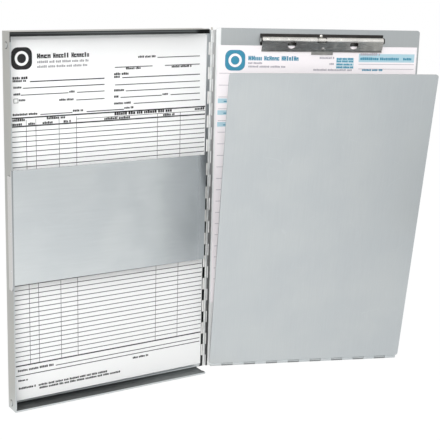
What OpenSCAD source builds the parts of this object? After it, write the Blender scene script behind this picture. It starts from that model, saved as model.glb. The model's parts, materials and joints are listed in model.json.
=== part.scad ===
// Storage clipboard box: a shallow sheet-metal storage tray, a clipboard plate hinged
// along the tray's right edge, and a writing cover hinged along the plate's foot.
// Millimetres, +Z up, standing upright, the tray faces -Y. The origin is the middle of
// the underside of the tray's bottom wall.

/* [Storage tray] */
// Outer height of the tray
tray_height = 371; // [320:1:420]
// From the side hinge axis to the tray's left outer face
tray_reach = 229.5; // [220:0.5:260]
// Outer depth of the tray
tray_depth = 20.4; // [14:0.2:40]
// Thickness of every folded sheet
sheet = 1; // [0.8:0.1:1.5]
// Inner radius of the sheet's bends
bend_r = 2; // [1:0.25:3]
// Height of the lip turned down from the top wall
lip_height = 4.2; // [3:0.2:10]
// From the side hinge axis to the free end of the top wall
top_wall_gap = 15.8; // [12:0.2:30]
// From the side hinge axis to the free end of the bottom wall
bottom_wall_gap = 10.2; // [8:0.2:30]
// Width of the hem folded over at the front of the bottom wall
bottom_hem = 5; // [3:0.5:8]
// Thickness of a folded-over hem
hem_t = 0.8; // [0.5:0.1:1]
// Height of the top wall's corner tab
top_tab = 20; // [16:1:40]
// Height of the bottom wall's corner tab
bottom_tab = 12; // [10:1:40]
// Radius of a corner rivet's head
corner_rivet_r = 3.4; // [2.5:0.1:4.5]

/* [Retaining band] */
// Height of the strap
band_height = 112; // [60:1:160]
// Height of the strap's lower edge above the floor
band_foot = 131; // [60:1:180]
// From the side hinge axis to the strap's free end
band_gap = 16.5; // [12:0.5:40]
// Depth of the flange on the left wall's outer face
band_flange = 9; // [7:0.5:18]
// How far the flange sits below the strap's edges
band_drop = 6; // [0:0.5:12]
// Depth of the return at the strap's free end
band_return = 6; // [3:0.5:10]
// Radius of a flush rivet's shank
rivet_r = 1.6; // [1:0.1:2.2]

/* [Clipboard plate] */
// Width of the plate
plate_width = 222.8; // [210:0.2:250]
// Height of the plate's top edge above the floor
plate_top = 371; // [320:1:420]
// From the side hinge axis to the plate's near edge
plate_gap = 3.8; // [3.2:0.1:6]
// Radius of the plate's corners
corner_r = 3; // [1:0.5:10]

/* [Hinges] */
// Length of one knuckle with its gap
pitch = 12.7; // [8:0.1:20]
// Gap between two knuckles
knuckle_gap = 0.3; // [0.2:0.05:0.6]
// Outer radius of a knuckle
barrel_r = 2; // [1.8:0.1:3]
// Radius of a hinge pin
pin_r = 1; // [0.8:0.05:1.1]
// Running clearance round a pin or rod
fit = 0.05; // [0.03:0.01:0.09]
// Thickness of a leaf
leaf_t = 0.8; // [0.6:0.05:1]
// From a side leaf's face to the hinge axis
leaf_face = 0.3; // [0.2:0.05:0.5]
// Width of a side leaf from the axis
leaf_width = 22; // [14:1:30]
// Height of a foot leaf from its axis
foot_leaf = 15; // [11:1:22]
// Knuckles in the side hinge
side_knuckles = 29; // [15:2:29]
// Knuckles in the foot hinge
foot_knuckles = 17; // [9:2:17]
// Height of the side hinge's lower end above the floor
side_hinge_foot = 0.5; // [0.5:0.1:2]
// Depth of the slots cut in the tray's and the foot leaves for the other leaf's knuckles
slot_depth = 4.4; // [3:0.1:6]
// Depth of the slots cut in the plate's side leaf
plate_slot = 2.5; // [2.4:0.1:6]

/* [Writing cover] */
// Width of the cover
cover_width = 219.2; // [200:0.2:240]
// Height of the cover from its hinge axis
cover_height = 334.7; // [250:0.1:338]
// From the plate's near edge to the cover's near edge
cover_inset = 2.2; // [1:0.1:6]
// From the foot hinge axis to the cover's lower edge
cover_foot = 2.3; // [2.2:0.1:8]
// Width of the hems along the cover's sides
cover_hem = 5.6; // [3:0.2:10]
// Lean of the cover towards the front at rest, degrees
cover_lean = 10.4; // [0:0.1:30]

/* [Clip] */
// Width of the jaw
clip_width = 131.6; // [80:0.2:160]
// Middle of the clip, from the plate's near edge
clip_middle = 114.3; // [100:0.1:124]
// From the plate's top edge down to the jaw's axis
clip_drop = 11.3; // [9:0.1:20]
// Outer radius of the jaw's rolled barrel
roll_r = 3.2; // [3:0.1:4.5]
// Thickness of the jaw's sheet
jaw_t = 1; // [0.8:0.1:1]
// Radius of the rod
rod_r = 2.1; // [1.5:0.1:2.1]
// Thickness of the clip's base and ears
base_t = 0.8; // [0.6:0.1:1.2]
// From the jaw's axis down to its lower edge
jaw_drop = 12.3; // [10:0.1:20]
// Width of the middle tongue
tongue_width = 23.6; // [10:0.2:40]
// How far the tongue reaches below the jaw's edge
tongue_drop = 2.9; // [1:0.1:3.5]
// Radius of the two round holes in the jaw
jaw_hole_r = 4.6; // [3:0.1:4.6]
// Distance between the round holes
jaw_hole_span = 67.8; // [40:0.2:100]
// Width of the notch in the middle of the roll
notch_width = 10.2; // [8:0.2:20]
// Wire radius of the spring
wire_r = 0.4; // [0.3:0.05:0.45]

/* [Forms] */
// Width of the stored forms
form_width = 216; // [200:1:216]
// Length of the stored forms
form_length = 358.6; // [279:0.1:360]
// Thickness of the stack of stored forms
form_stack = 2; // [1:0.5:8]
// From the side hinge axis to the stored forms
form_gap = 6.2; // [5:0.1:7.5]
// Tilt of the stored forms, degrees
form_tilt = 0.3; // [0:0.1:0.5]
// Height of the stored forms' lower edge
form_foot = 4.4; // [4:0.1:5]
// Width of the form set under the clip
set_width = 218.2; // [200:0.2:218.6]
// Length of the form set under the clip
set_length = 279.4; // [200:0.1:300]
// Thickness of the form set under the clip
set_t = 1.2; // [0.4:0.1:1.5]

/* [Rest pose] */
// Turn of the clipboard plate towards the front at rest, degrees
rest_fold = 21; // [0:0.5:34]

/* [Hidden] */
$fn = 32;
eps = 0.01;

// colours
satin = [0.78, 0.80, 0.81];
bright = [0.86, 0.86, 0.84];
dark = [0.10, 0.10, 0.11];
paper = [0.96, 0.96, 0.95];
blush = [0.95, 0.92, 0.93];

// distances from the side hinge axis towards the front
back = leaf_face + leaf_t;              // back face of both plates
face = back + sheet;                    // front face of both plates
rim = back + tray_depth;                // the tray's front rim
edge_gap = slot_depth + 0.1;            // free edge of the tray's back plate

// the side hinge axis, so that the tray's underside is centred on the origin
hinge_x = (tray_reach + bottom_wall_gap) / 2;
hinge_y = (rim + back) / 2;
side_length = side_knuckles * pitch;
pin_top = side_hinge_foot + side_length + 2;

// foot hinge axis in the plate's frame
foot_n = face + leaf_t + 0.4;
foot_z = barrel_r + 0.5;
plate_foot = foot_z + barrel_r + 0.5;
cover_x = plate_gap + cover_inset;
foot_length = foot_knuckles * pitch;
foot_start = plate_gap + (plate_width - foot_length) / 2;

// clip, in the plate's frame
base_n = face + base_t;
clip_n = base_n + 0.3 + roll_r;
clip_x = plate_gap + clip_middle;
notch_x = clip_x - 1.6;
clip_z = plate_top - clip_drop;
jaw_in = face + set_t + fit;
base_low = clip_z - 1.8 * roll_r;
base_high = clip_z + 1.9 * roll_r;
stud_z = base_high - 0.62 * roll_r;
ear_gap = 0.4 * base_t;
ear_t = 1.25 * base_t;
base_half = clip_width / 2 + ear_gap + ear_t;
coil_r = rod_r + fit + wire_r;
base_rivet_z = clip_z - 3.5;
set_top = base_low - 0.5;
set_gap = plate_gap + (plate_width - set_width) / 2;
jaw_low = clip_z - jaw_drop;
jaw_knee = jaw_low + 1.8;
jaw_hole_z = jaw_low + jaw_hole_r + 3.3;
rivet_head = 0.25;

// the jaw's sloping face touches the roll: its direction and the two touching points
knee = [jaw_in + jaw_t, jaw_knee];
to_axis = [clip_n, clip_z] - knee;
slope = atan2(to_axis[1], to_axis[0]) - asin(roll_r / norm(to_axis));
out = [sin(slope), -cos(slope)];
touch_out = [clip_n, clip_z] + roll_r * out;
touch_in = [clip_n, clip_z] + (roll_r - jaw_t) * out;
knee_in = [jaw_in, touch_in[1] - (touch_in[0] - jaw_in) * tan(slope)];

// frames of the three groups
module at_tray() translate([hinge_x, hinge_y, 0]) children();
module at_plate() at_tray() rotate([0, 0, -rest_fold]) children();
module at_foot() at_plate() translate([0, -foot_n, foot_z]) children();
module at_cover() at_foot() rotate([cover_lean, 0, 0]) children();

// box between two corners
module box(a, b) translate(a) cube(b - a);

// upright panel with round corners, from a to b
module panel(a, b, r) translate([0, b[1], 0]) rotate([90, 0, 0]) linear_extrude(b[1] - a[1]) {
    translate([a[0] + r, a[2]]) square([b[0] - a[0] - 2 * r, b[2] - a[2]]);
    translate([a[0], a[2] + r]) square([b[0] - a[0], b[2] - a[2] - 2 * r]);
    for (x = [a[0] + r, b[0] - r], z = [a[2] + r, b[2] - r]) translate([x, z]) circle(r);
}

// upright profile given as [distance to the front, height], run along X
module run(x0, x1, points) translate([x0, 0, 0]) rotate([90, 0, 90]) mirror([1, 0, 0])
    linear_extrude(x1 - x0) polygon(points);

// round bar along X or towards the front
module bar_x(x0, x1, n, z, r) translate([x0, -n, z]) rotate([0, 90, 0]) cylinder(r = r, h = x1 - x0);
module bar_n(n0, n1, x, z, r) translate([x, -n0, z]) rotate([90, 0, 0]) cylinder(r = r, h = n1 - n0);

// fill of an inner bend along X; the corner is at the origin
module bend_fill(length) difference() {
    translate([0, -bend_r, 0]) cube([length, bend_r, bend_r]);
    translate([-eps, -bend_r, bend_r]) rotate([0, 90, 0]) cylinder(r = bend_r, h = length + 2 * eps);
}

// the same for the upright bend between the back plate and the left wall
module side_fill() difference() {
    translate([0, -bend_r, 0]) cube([bend_r, bend_r, tray_height - 2 * sheet]);
    translate([bend_r, -bend_r, -eps]) cylinder(r = bend_r, h = tray_height);
}
module side_cut() let (r = bend_r + sheet) difference() {
    translate([-1, -r, -1]) cube([r + 1, r + 1, tray_height + 2]);
    translate([r, -r, -2]) cylinder(r = r, h = tray_height + 4);
}

// what a bend's outer radius takes away along X; the corner is at the origin
module bend_cut(length) let (r = bend_r + sheet) difference() {
    translate([-1, -r, -1]) cube([length + 2, r + 1, r + 1]);
    translate([-2, -r, r]) rotate([0, 90, 0]) cylinder(r = r, h = length + 4);
}

// one leaf of a piano hinge: the axis is Z, the leaf lies on the -X side with its face
// `near` in front of the axis, and has knuckles first, first + 2, ...
module leaf(width, count, first, near = leaf_face, slot = slot_depth) difference() {
    union() {
        box([-width, -near - leaf_t, 0], [-slot, -near, count * pitch]);
        for (k = [first : 2 : count - 1]) translate([0, 0, k * pitch + knuckle_gap / 2]) {
            cylinder(r = barrel_r, h = pitch - knuckle_gap);
            box([-slot - 1, -near - leaf_t, 0], [-pin_r - 0.4, -near, pitch - knuckle_gap]);
        }
    }
    translate([0, 0, -1]) cylinder(r = pin_r + fit, h = count * pitch + 2);
}

// places along a hinge for its rivets
function spots(from, length, n) = [for (i = [0 : n - 1]) from + length * (i + 0.5) / n];
side_spots = spots(side_hinge_foot, 0.92 * side_length, 4);
foot_spots = spots(foot_start, foot_length, 4);
band_spots = spots(band_foot - band_drop, band_height, 3);
side_rivet_x = (slot_depth + leaf_width) / 2;
foot_rivet_z = (slot_depth + foot_leaf) / 2;

module side_holes(sign) for (z = side_spots)
    bar_n(leaf_face - 1, face + 1, sign * side_rivet_x, z, rivet_r);
corner_spots = [[rim - 0.44 * tray_depth, tray_height - 0.6 * (sheet + top_tab)],
                [rim - 0.52 * tray_depth, sheet + 0.46 * bottom_tab]];

module tray_pan() color(satin) at_tray() difference() {
    union() {
        box([-tray_reach, -face, 0], [-edge_gap, -back, tray_height]);
        box([-tray_reach, -rim, 0], [-tray_reach + sheet, -back, tray_height]);
        box([-tray_reach, -rim, 0], [-bottom_wall_gap, -back, sheet]);
        box([-tray_reach, -rim, tray_height - sheet], [-top_wall_gap, -back, tray_height]);
        // lip under the top wall's front, hem on the bottom wall's front
        box([-tray_reach, -rim, tray_height - lip_height], [-top_wall_gap, -rim + sheet, tray_height]);
        box([-tray_reach + sheet, -rim, 0], [-bottom_wall_gap, -rim + bottom_hem, sheet + hem_t]);
        // corner tabs against the left wall
        box([-tray_reach, -rim + 1.5, tray_height - sheet - top_tab], [-tray_reach + 2 * sheet, -face, tray_height - eps]);
        box([-tray_reach, -rim + 1.5, eps], [-tray_reach + 2 * sheet, -face, sheet + bottom_tab]);
        // bends
        translate([-tray_reach + sheet, -face, sheet]) bend_fill(tray_reach - bottom_wall_gap - sheet);
        translate([-tray_reach + sheet, -face, tray_height - sheet]) mirror([0, 0, 1]) bend_fill(tray_reach - top_wall_gap - sheet);
        translate([-tray_reach + sheet, -face, sheet]) side_fill();
    }
    // outer radius of the bends along the back
    translate([-tray_reach, -back, 0]) bend_cut(tray_reach);
    translate([-tray_reach, -back, tray_height]) mirror([0, 0, 1]) bend_cut(tray_reach);
    translate([-tray_reach, -back, 0]) side_cut();
    // relief beside the bottom wall's free end and at the lip's left end
    box([-bottom_wall_gap, -rim - 1, -1], [0, 1, sheet + bend_r]);
    box([-tray_reach - 1, -rim - 1, tray_height - 2.55 * lip_height],
        [-tray_reach + sheet + eps, -rim + 1.2, tray_height - 2.2 * lip_height]);
    for (s = corner_spots) bar_x(-tray_reach - 1, -tray_reach + 3 * sheet, s[0], s[1], rivet_r);
    for (z = band_spots) bar_x(-tray_reach - 1, -tray_reach + 2 * sheet, rim - band_flange / 2, z, rivet_r);
    side_holes(-1);
}

module tray_corner_rivets() color(bright) at_tray() for (s = corner_spots) {
    bar_x(-tray_reach, -tray_reach + 2 * sheet, s[0], s[1], rivet_r - eps);
    translate([-tray_reach, -s[0], s[1]]) rotate([0, -90, 0]) head(corner_rivet_r, 1.1);
    translate([-tray_reach + 2 * sheet, -s[0], s[1]]) rotate([0, 90, 0]) head(rivet_r + 0.8, 0.6);
}

// domed rivet head that stands on the origin along Z
module head(r, h) let (d = (r * r + h * h) / (2 * h)) rotate_extrude() intersection() {
    translate([0, h - d]) circle(d, $fn = 64);
    square([r, h]);
}

// low flush head with a bevelled edge
module low_head(r) cylinder(r1 = r, r2 = r - 0.7, h = rivet_head);

module retaining_band() color(satin) at_tray() difference() {
    union() {
        box([-tray_reach - sheet, -rim - sheet, band_foot], [-band_gap, -rim, band_foot + band_height]);
        box([-band_gap - sheet, -rim - sheet, band_foot + 3], [-band_gap, -rim + band_return, band_foot + band_height - 3]);
        // flange, set lower than the strap
        run(-tray_reach - sheet, -tray_reach, [
            [rim + sheet, band_foot], [rim - 1.5, band_foot - band_drop], [rim - band_flange, band_foot - band_drop],
            [rim - band_flange, band_foot + band_height - band_drop], [rim - 1.5, band_foot + band_height - band_drop],
            [rim + sheet, band_foot + band_height]]);
    }
    for (z = band_spots) bar_x(-tray_reach - 2 * sheet, -tray_reach + sheet, rim - band_flange / 2, z, rivet_r);
}

module band_rivets() color(satin) at_tray() for (z = band_spots) {
    bar_x(-tray_reach - sheet, -tray_reach + sheet, rim - band_flange / 2, z, rivet_r - eps);
    translate([-tray_reach + sheet, -rim + band_flange / 2, z]) rotate([0, 90, 0]) head(rivet_r + 0.8, 0.5);
    translate([-tray_reach - sheet, -rim + band_flange / 2, z]) rotate([0, -90, 0]) low_head(rivet_r + 0.6);
}

module tray_side_leaf() color(satin) at_tray() difference() {
    translate([0, 0, side_hinge_foot]) leaf(leaf_width, side_knuckles, 0);
    side_holes(-1);
}

module plate_side_leaf() color(satin) at_plate() difference() {
    translate([0, 0, side_hinge_foot]) mirror([1, 0, 0]) leaf(leaf_width, side_knuckles, 1, slot = plate_slot);
    side_holes(1);
}

// flush in front, a low head behind the leaf
module side_rivets(sign) for (z = side_spots) {
    bar_n(leaf_face, face, sign * side_rivet_x, z, rivet_r - eps);
    translate([sign * side_rivet_x, -leaf_face, z]) rotate([-90, 0, 0]) low_head(rivet_r + 0.8);
}

module tray_leaf_rivets() color(bright) at_tray() side_rivets(-1);
module plate_side_rivets() color(bright) at_plate() side_rivets(1);

module side_hinge_pin() color(bright) at_tray() {
    translate([0, 0, side_hinge_foot]) cylinder(r = pin_r, h = pin_top - side_hinge_foot);
    translate([0, 0, pin_top]) head(pin_r, 0.6);
}

module storage_forms() color(paper) at_tray()
    translate([-form_gap - form_width, 0, form_foot]) rotate([0, -form_tilt, 0])
        box([0, -face - form_stack, 0], [form_width, -face, form_length]);

module clipboard_plate() color(satin) at_plate() difference() {
    panel([plate_gap, -face, plate_foot], [plate_gap + plate_width, -back, plate_top], corner_r);
    side_holes(1);
    for (x = foot_spots) bar_n(0, 2 * face, x, foot_z + foot_rivet_z, rivet_r);
    for (s = [-1, 1]) bar_n(0, 2 * face, clip_x + s * jaw_hole_span / 2, base_rivet_z, rivet_r);
    bar_n(0, 2 * face, notch_x, stud_z, 1.2);
}

// a foot leaf, seen from its axis: `side` is 1 on the plate and -1 on the cover
module foot_leaf_shape(first, side) difference() {
    translate([foot_start, 0, 0]) rotate([0, 90, 0]) mirror([0, side > 0 ? 1 : 0, 0])
        leaf(foot_leaf, foot_knuckles, first, 0.4);
    for (x = foot_spots) bar_n(-2, 2, x, foot_rivet_z, rivet_r);
}

module plate_foot_leaf() color(satin) at_foot() foot_leaf_shape(1, 1);
module cover_foot_leaf() color(satin) at_cover() foot_leaf_shape(0, -1);

module plate_foot_rivets() color(bright) at_plate() for (x = foot_spots) {
    bar_n(back, face + leaf_t, x, foot_z + foot_rivet_z, rivet_r - eps);
    translate([x, -face - leaf_t, foot_z + foot_rivet_z]) rotate([90, 0, 0]) low_head(rivet_r + 0.8);
    translate([x, -back, foot_z + foot_rivet_z]) rotate([-90, 0, 0]) low_head(rivet_r + 0.8);
}

module cover_foot_rivets() color(bright) at_cover() for (x = foot_spots) {
    bar_n(0.4, 0.4 + leaf_t + sheet, x, foot_rivet_z, rivet_r - eps);
    translate([x, -0.4 - leaf_t - sheet, foot_rivet_z]) rotate([90, 0, 0]) low_head(rivet_r + 0.6);
    translate([x, -0.4, foot_rivet_z]) rotate([-90, 0, 0]) low_head(rivet_r + 0.8);
}

module foot_hinge_pin() color(bright) at_foot() bar_x(foot_start, foot_start + foot_length, 0, 0, pin_r);

module writing_cover() color(satin) at_cover() difference() {
    union() {
        panel([cover_x, -0.4 - leaf_t - sheet, cover_foot], [cover_x + cover_width, -0.4 - leaf_t, cover_height], corner_r);
        for (x = [cover_x, cover_x + cover_width - cover_hem])
            box([x, -0.4 - leaf_t, foot_leaf + 1], [x + cover_hem, -0.4 - leaf_t + hem_t, cover_height - corner_r]);
    }
    for (x = foot_spots) bar_n(-2, 4, x, foot_rivet_z, rivet_r);
}

module clip_base() color(dark) at_plate() difference() {
    union() {
        box([clip_x - base_half, -base_n, base_low], [clip_x + base_half, -face, base_high]);
        for (x = [clip_x - base_half, clip_x + base_half - ear_t]) ear(x, x + ear_t);
    }
    bar_x(clip_x - clip_width, clip_x + clip_width, clip_n, clip_z, rod_r + eps);
    for (s = [-1, 1]) bar_n(0, 2 * face, clip_x + s * jaw_hole_span / 2, base_rivet_z, rivet_r);
    bar_n(0, 2 * face, notch_x, stud_z, 1.2);
}

// end ear of the base: a round end on a foot, cut from one flat profile
module ear(x0, x1) translate([x0, 0, 0]) rotate([90, 0, 90]) mirror([1, 0, 0]) linear_extrude(x1 - x0) {
    translate([clip_n, clip_z]) circle(roll_r);
    translate([face + base_t / 2, clip_z - 2.4]) square([clip_n - face - base_t / 2, 4.8]);
}

module clip_base_rivets() color(bright) at_plate() for (s = [-1, 1]) let (x = clip_x + s * jaw_hole_span / 2) {
    bar_n(back, base_n, x, base_rivet_z, rivet_r - eps);
    translate([x, -base_n, base_rivet_z]) rotate([90, 0, 0]) head(2.2, 0.45);
    translate([x, -back, base_rivet_z]) rotate([-90, 0, 0]) head(2.6, 0.7);
}

module clip_stud() color(bright) at_plate() {
    bar_n(back, base_n + 0.8, notch_x, stud_z, 1.2 - eps);
    translate([notch_x, -base_n, stud_z]) rotate([90, 0, 0]) cylinder(r = 1.9, h = 1);
    translate([notch_x, -base_n - 1, stud_z]) rotate([90, 0, 0]) head(1.9, 1);
    translate([notch_x, -back, stud_z]) rotate([-90, 0, 0]) head(2, 0.6);
}

module clip_rod() color(bright) at_plate()
    bar_x(clip_x - base_half - 0.3, clip_x + base_half + 0.3, clip_n, clip_z, rod_r);

// rings that run into each other round the rod, and one leg down to the base
module clip_spring() color(bright) at_plate() {
    translate([notch_x - notch_width / 2 + 1, -clip_n, clip_z]) rotate([0, 90, 0])
        for (i = [0 : floor((notch_width - 2) / (1.8 * wire_r))]) translate([0, 0, i * 1.8 * wire_r])
            rotate_extrude() translate([coil_r, 0]) circle(wire_r, $fn = 16);
    translate([notch_x - notch_width / 2 + 1, -clip_n + coil_r, base_low + wire_r])
        cylinder(r = wire_r, h = clip_z - base_low);
}

module clipped_forms() color(blush) at_plate()
    box([set_gap, -face - set_t, set_top - set_length], [set_gap + set_width, -face, set_top]);

module clip_jaw() color(bright) at_plate() difference() {
    union() {
        bar_x(clip_x - clip_width / 2, clip_x + clip_width / 2, clip_n, clip_z, roll_r);
        run(clip_x - clip_width / 2, clip_x + clip_width / 2, [touch_out, knee, [knee[0], jaw_low],
            [jaw_in, jaw_low], knee_in, touch_in, [clip_n, clip_z]]);
        box([clip_x - tongue_width / 2, -jaw_in - jaw_t, jaw_low - tongue_drop],
            [clip_x + tongue_width / 2, -jaw_in, jaw_knee - 0.5]);
    }
    bar_x(clip_x - clip_width, clip_x + clip_width, clip_n, clip_z, rod_r + fit);
    // notch over the spring, round holes over the base's rivets
    box([notch_x - notch_width / 2, -clip_n - 2 * roll_r, clip_z - 2.2],
        [notch_x + notch_width / 2, 0, clip_z + 2 * roll_r]);
    box([notch_x - notch_width / 2, -clip_n, clip_z - 2 * roll_r],
        [notch_x + notch_width / 2, 0, clip_z + 2 * roll_r]);
    bar_x(notch_x - notch_width / 2, notch_x + notch_width / 2, clip_n, clip_z, coil_r + wire_r + 0.3);
    for (s = [-1, 1]) bar_n(0, clip_n + 2 * roll_r, clip_x + s * jaw_hole_span / 2, jaw_hole_z, jaw_hole_r);
    at_jaw_rivet() translate([0, 0, -2]) cylinder(r = jaw_rivet_r, h = 3);
}

// the tongue's rivet sits square to the jaw's slope
jaw_rivet_r = 0.9;
jaw_rivet_at = knee + 1.8 * [cos(slope), sin(slope)];
module at_jaw_rivet()
    translate([clip_x + 0.8, -jaw_rivet_at[0], jaw_rivet_at[1]]) rotate([180 - slope, 0, 0]) children();
module jaw_rivet() color(bright) at_plate() at_jaw_rivet() {
    translate([0, 0, -0.9]) cylinder(r = jaw_rivet_r - eps, h = 0.9);
    head(2 * jaw_rivet_r, 0.6);
}

tray_pan();
tray_corner_rivets();
retaining_band();
band_rivets();
tray_side_leaf();
tray_leaf_rivets();
side_hinge_pin();
storage_forms();
clipboard_plate();
plate_side_leaf();
plate_side_rivets();
plate_foot_leaf();
plate_foot_rivets();
foot_hinge_pin();
clip_base();
clip_base_rivets();
clip_stud();
clip_rod();
clip_spring();
clipped_forms();
writing_cover();
cover_foot_leaf();
cover_foot_rivets();
clip_jaw();
jaw_rivet();
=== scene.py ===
import json
import math
import random

import bmesh
import bpy
from bpy.props import FloatProperty, FloatVectorProperty, IntProperty, PointerProperty
from mathutils import Euler, Matrix, Vector


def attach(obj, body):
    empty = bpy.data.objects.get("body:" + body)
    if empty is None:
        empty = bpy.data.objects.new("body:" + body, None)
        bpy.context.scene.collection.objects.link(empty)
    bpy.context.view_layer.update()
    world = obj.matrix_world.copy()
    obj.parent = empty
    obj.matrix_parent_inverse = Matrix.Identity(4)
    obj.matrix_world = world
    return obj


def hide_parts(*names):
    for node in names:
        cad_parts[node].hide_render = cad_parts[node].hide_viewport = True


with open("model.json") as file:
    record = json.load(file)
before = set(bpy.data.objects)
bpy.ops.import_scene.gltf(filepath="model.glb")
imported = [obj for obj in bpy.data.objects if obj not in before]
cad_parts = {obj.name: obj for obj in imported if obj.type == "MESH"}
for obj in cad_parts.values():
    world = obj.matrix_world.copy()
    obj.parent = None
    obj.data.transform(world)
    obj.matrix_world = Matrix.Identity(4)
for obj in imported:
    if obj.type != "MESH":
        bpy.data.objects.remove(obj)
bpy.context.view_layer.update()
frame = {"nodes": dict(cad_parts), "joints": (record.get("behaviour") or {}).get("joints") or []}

bl_info = {
    "name": "Storage Clipboard Box",
    "version": (1, 0, 0),
    "blender": (4, 5, 0),
    "location": "View3D > Sidebar > Clipboard Box",
    "description": "Dresses a hinged clipboard box in folded sheet metal, nickel and printed forms",
    "category": "Object",
}

MM = 0.001
JOINTS = {joint["name"]: joint for joint in frame["joints"]}

# The three leaves' own frames: X along the leaf, -Y its front, Z up, at the side hinge's foot.
HINGE = Vector(JOINTS["side_hinge"]["pos_m"][:2] + [0])
FOOT_PIN = Vector(JOINTS["cover_hinge"]["pos_m"])
FOLD = math.atan2(JOINTS["cover_hinge"]["axis"][1], JOINTS["cover_hinge"]["axis"][0])
LEAN = -math.radians(JOINTS["cover_hinge"]["range_deg"][0])
TRAY = Matrix.Translation(HINGE)
BOARD = TRAY @ Matrix.Rotation(FOLD, 4, "Z")
COVER = Matrix.Translation(FOOT_PIN) @ Matrix.Rotation(FOLD, 4, "Z") @ Matrix.Rotation(LEAN, 4, "X")
CLIP_AXIS = BOARD.inverted() @ Vector(JOINTS["clip_pivot"]["pos_m"])

# Turns a leaf's frame so that the grain of a sheet, which runs along Z, lies along the leaf.
GRAIN_ACROSS = Matrix.Rotation(math.pi / 2, 4, "Y")


def corners_of(points):
    """Lowest and highest corner of the box round some points."""
    low, high = (Vector(end(p[i] for p in points) for i in range(3)) for end in (min, max))
    return low, high


def reach(node, place):
    """Lowest and highest corner of a CAD node, measured in a leaf's own frame."""
    inverse = place.inverted()
    return corners_of([inverse @ v.co for v in frame["nodes"][node].data.vertices])


# ---------------------------------------------------------------- sizes and colours

LENGTH = {"unit": "LENGTH", "precision": 6}
COLOUR = {"subtype": "COLOR", "size": 3, "min": 0.0, "max": 1.0}


class ClipboardSizes(bpy.types.PropertyGroup):
    """Sizes of the finishing touches on the clipboard box."""

    edge_round: FloatProperty(
        name="Edge rounding",
        description="Width of the rounding on every cut edge of the sheet",
        default=0.16 * MM,
        **LENGTH,
    )
    rivet_dimple: FloatProperty(
        name="Rivet dimple",
        description="Depth of the dimple in the middle of a set rivet",
        default=0.12 * MM,
        **LENGTH,
    )
    sheet_pitch: FloatProperty(
        name="Sheet pitch",
        description="Thickness that one stored form takes in the stack",
        default=0.142 * MM,
        **LENGTH,
    )
    stack_jitter: FloatProperty(
        name="Stack jitter",
        description="How far one sheet may lie out of line with the next",
        default=0.3 * MM,
        **LENGTH,
    )
    spring_turns: IntProperty(
        name="Spring turns",
        description="Turns of the wire in the clip's spring",
        default=11,
        min=4,
        max=20,
    )
    ink_height: FloatProperty(
        name="Ink height",
        description="Height of the printed marks above the paper",
        default=0.03 * MM,
        **LENGTH,
    )


class ClipboardColours(bpy.types.PropertyGroup):
    """Colours of the metals, the papers and the inks."""

    aluminium: FloatVectorProperty(
        name="Aluminium",
        description="Colour of the satin sheet",
        default=(0.635, 0.668, 0.675),
        **COLOUR,
    )
    # Painted shade: the tray's rim is darkened to stand in for shade and dark reflections.
    rim: FloatVectorProperty(
        name="Rim",
        description="Colour of the darkened rim of the tray",
        default=(0.075, 0.08, 0.08),
        **COLOUR,
    )
    nickel: FloatVectorProperty(
        name="Nickel",
        description="Colour of the clip's plating",
        default=(0.80, 0.785, 0.75),
        **COLOUR,
    )
    # Black oxide of the clip's base, which also serves as painted shade behind the jaw's barrel.
    oxide: FloatVectorProperty(
        name="Black oxide",
        description="Colour of the clip's base",
        default=(0.022, 0.020, 0.019),
        **COLOUR,
    )
    white_paper: FloatVectorProperty(
        name="White paper",
        description="Colour of the stored forms",
        default=(0.87, 0.875, 0.87),
        **COLOUR,
    )
    pink_paper: FloatVectorProperty(
        name="Pink paper",
        description="Colour of the clipped forms",
        default=(0.905, 0.863, 0.88),
        **COLOUR,
    )
    black_ink: FloatVectorProperty(
        name="Black ink",
        description="Colour of the heavy print",
        default=(0.012, 0.012, 0.013),
        **COLOUR,
    )
    grey_ink: FloatVectorProperty(
        name="Grey ink",
        description="Colour of the thin rules and small print",
        default=(0.035, 0.035, 0.037),
        **COLOUR,
    )
    faint_ink: FloatVectorProperty(
        name="Faint ink",
        description="Colour of the address lines under the title",
        default=(0.33, 0.33, 0.34),
        **COLOUR,
    )
    blue_ink: FloatVectorProperty(
        name="Blue ink",
        description="Colour of the print on the clipped forms",
        default=(0.04, 0.25, 0.38),
        **COLOUR,
    )
    pale_ink: FloatVectorProperty(
        name="Pale blue ink",
        description="Colour of the tinted fields on the clipped forms",
        default=(0.42, 0.62, 0.70),
        **COLOUR,
    )
    violet_ink: FloatVectorProperty(
        name="Violet grey ink",
        description="Colour of the rules and small print on the clipped forms",
        default=(0.42, 0.39, 0.44),
        **COLOUR,
    )


class ClipboardStage(bpy.types.PropertyGroup):
    """Camera, lamps and the light from all round."""

    camera_place: FloatVectorProperty(
        name="Camera place",
        description="Where the camera stands",
        subtype="TRANSLATION",
        unit="LENGTH",
        size=3,
        default=(-0.48810, -0.95976, 0.44644),
    )
    camera_pitch: FloatProperty(
        name="Camera pitch",
        description="How far the camera looks up",
        subtype="ANGLE",
        default=math.radians(-13.7078),
    )
    camera_yaw: FloatProperty(
        name="Camera yaw",
        description="How far the camera is turned to the left",
        subtype="ANGLE",
        default=math.radians(-32.7599),
    )
    camera_roll: FloatProperty(
        name="Camera roll",
        description="How far the camera is tipped to the side",
        subtype="ANGLE",
        default=math.radians(-1.6920),
    )
    lens: FloatProperty(
        name="Lens",
        description="Focal length on a 36 mm sensor",
        subtype="DISTANCE_CAMERA",
        default=89.725,
    )
    key_power: FloatProperty(
        name="Key power",
        description="Power of the large soft lamp on the left",
        subtype="POWER",
        default=32.0,
    )
    front_power: FloatProperty(
        name="Front power",
        description="Power of the soft lamp beside the camera",
        subtype="POWER",
        default=6.0,
    )
    sky: FloatProperty(
        name="Sky",
        description="Strength of the even light from all round",
        default=0.66,
        min=0.0,
        max=2.0,
    )


def sizes():
    """The sizes that the scene holds."""
    return bpy.context.scene.clipboard_sizes


def colours():
    """The colours that the scene holds."""
    return bpy.context.scene.clipboard_colours


# ---------------------------------------------------------------- node helpers

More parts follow.
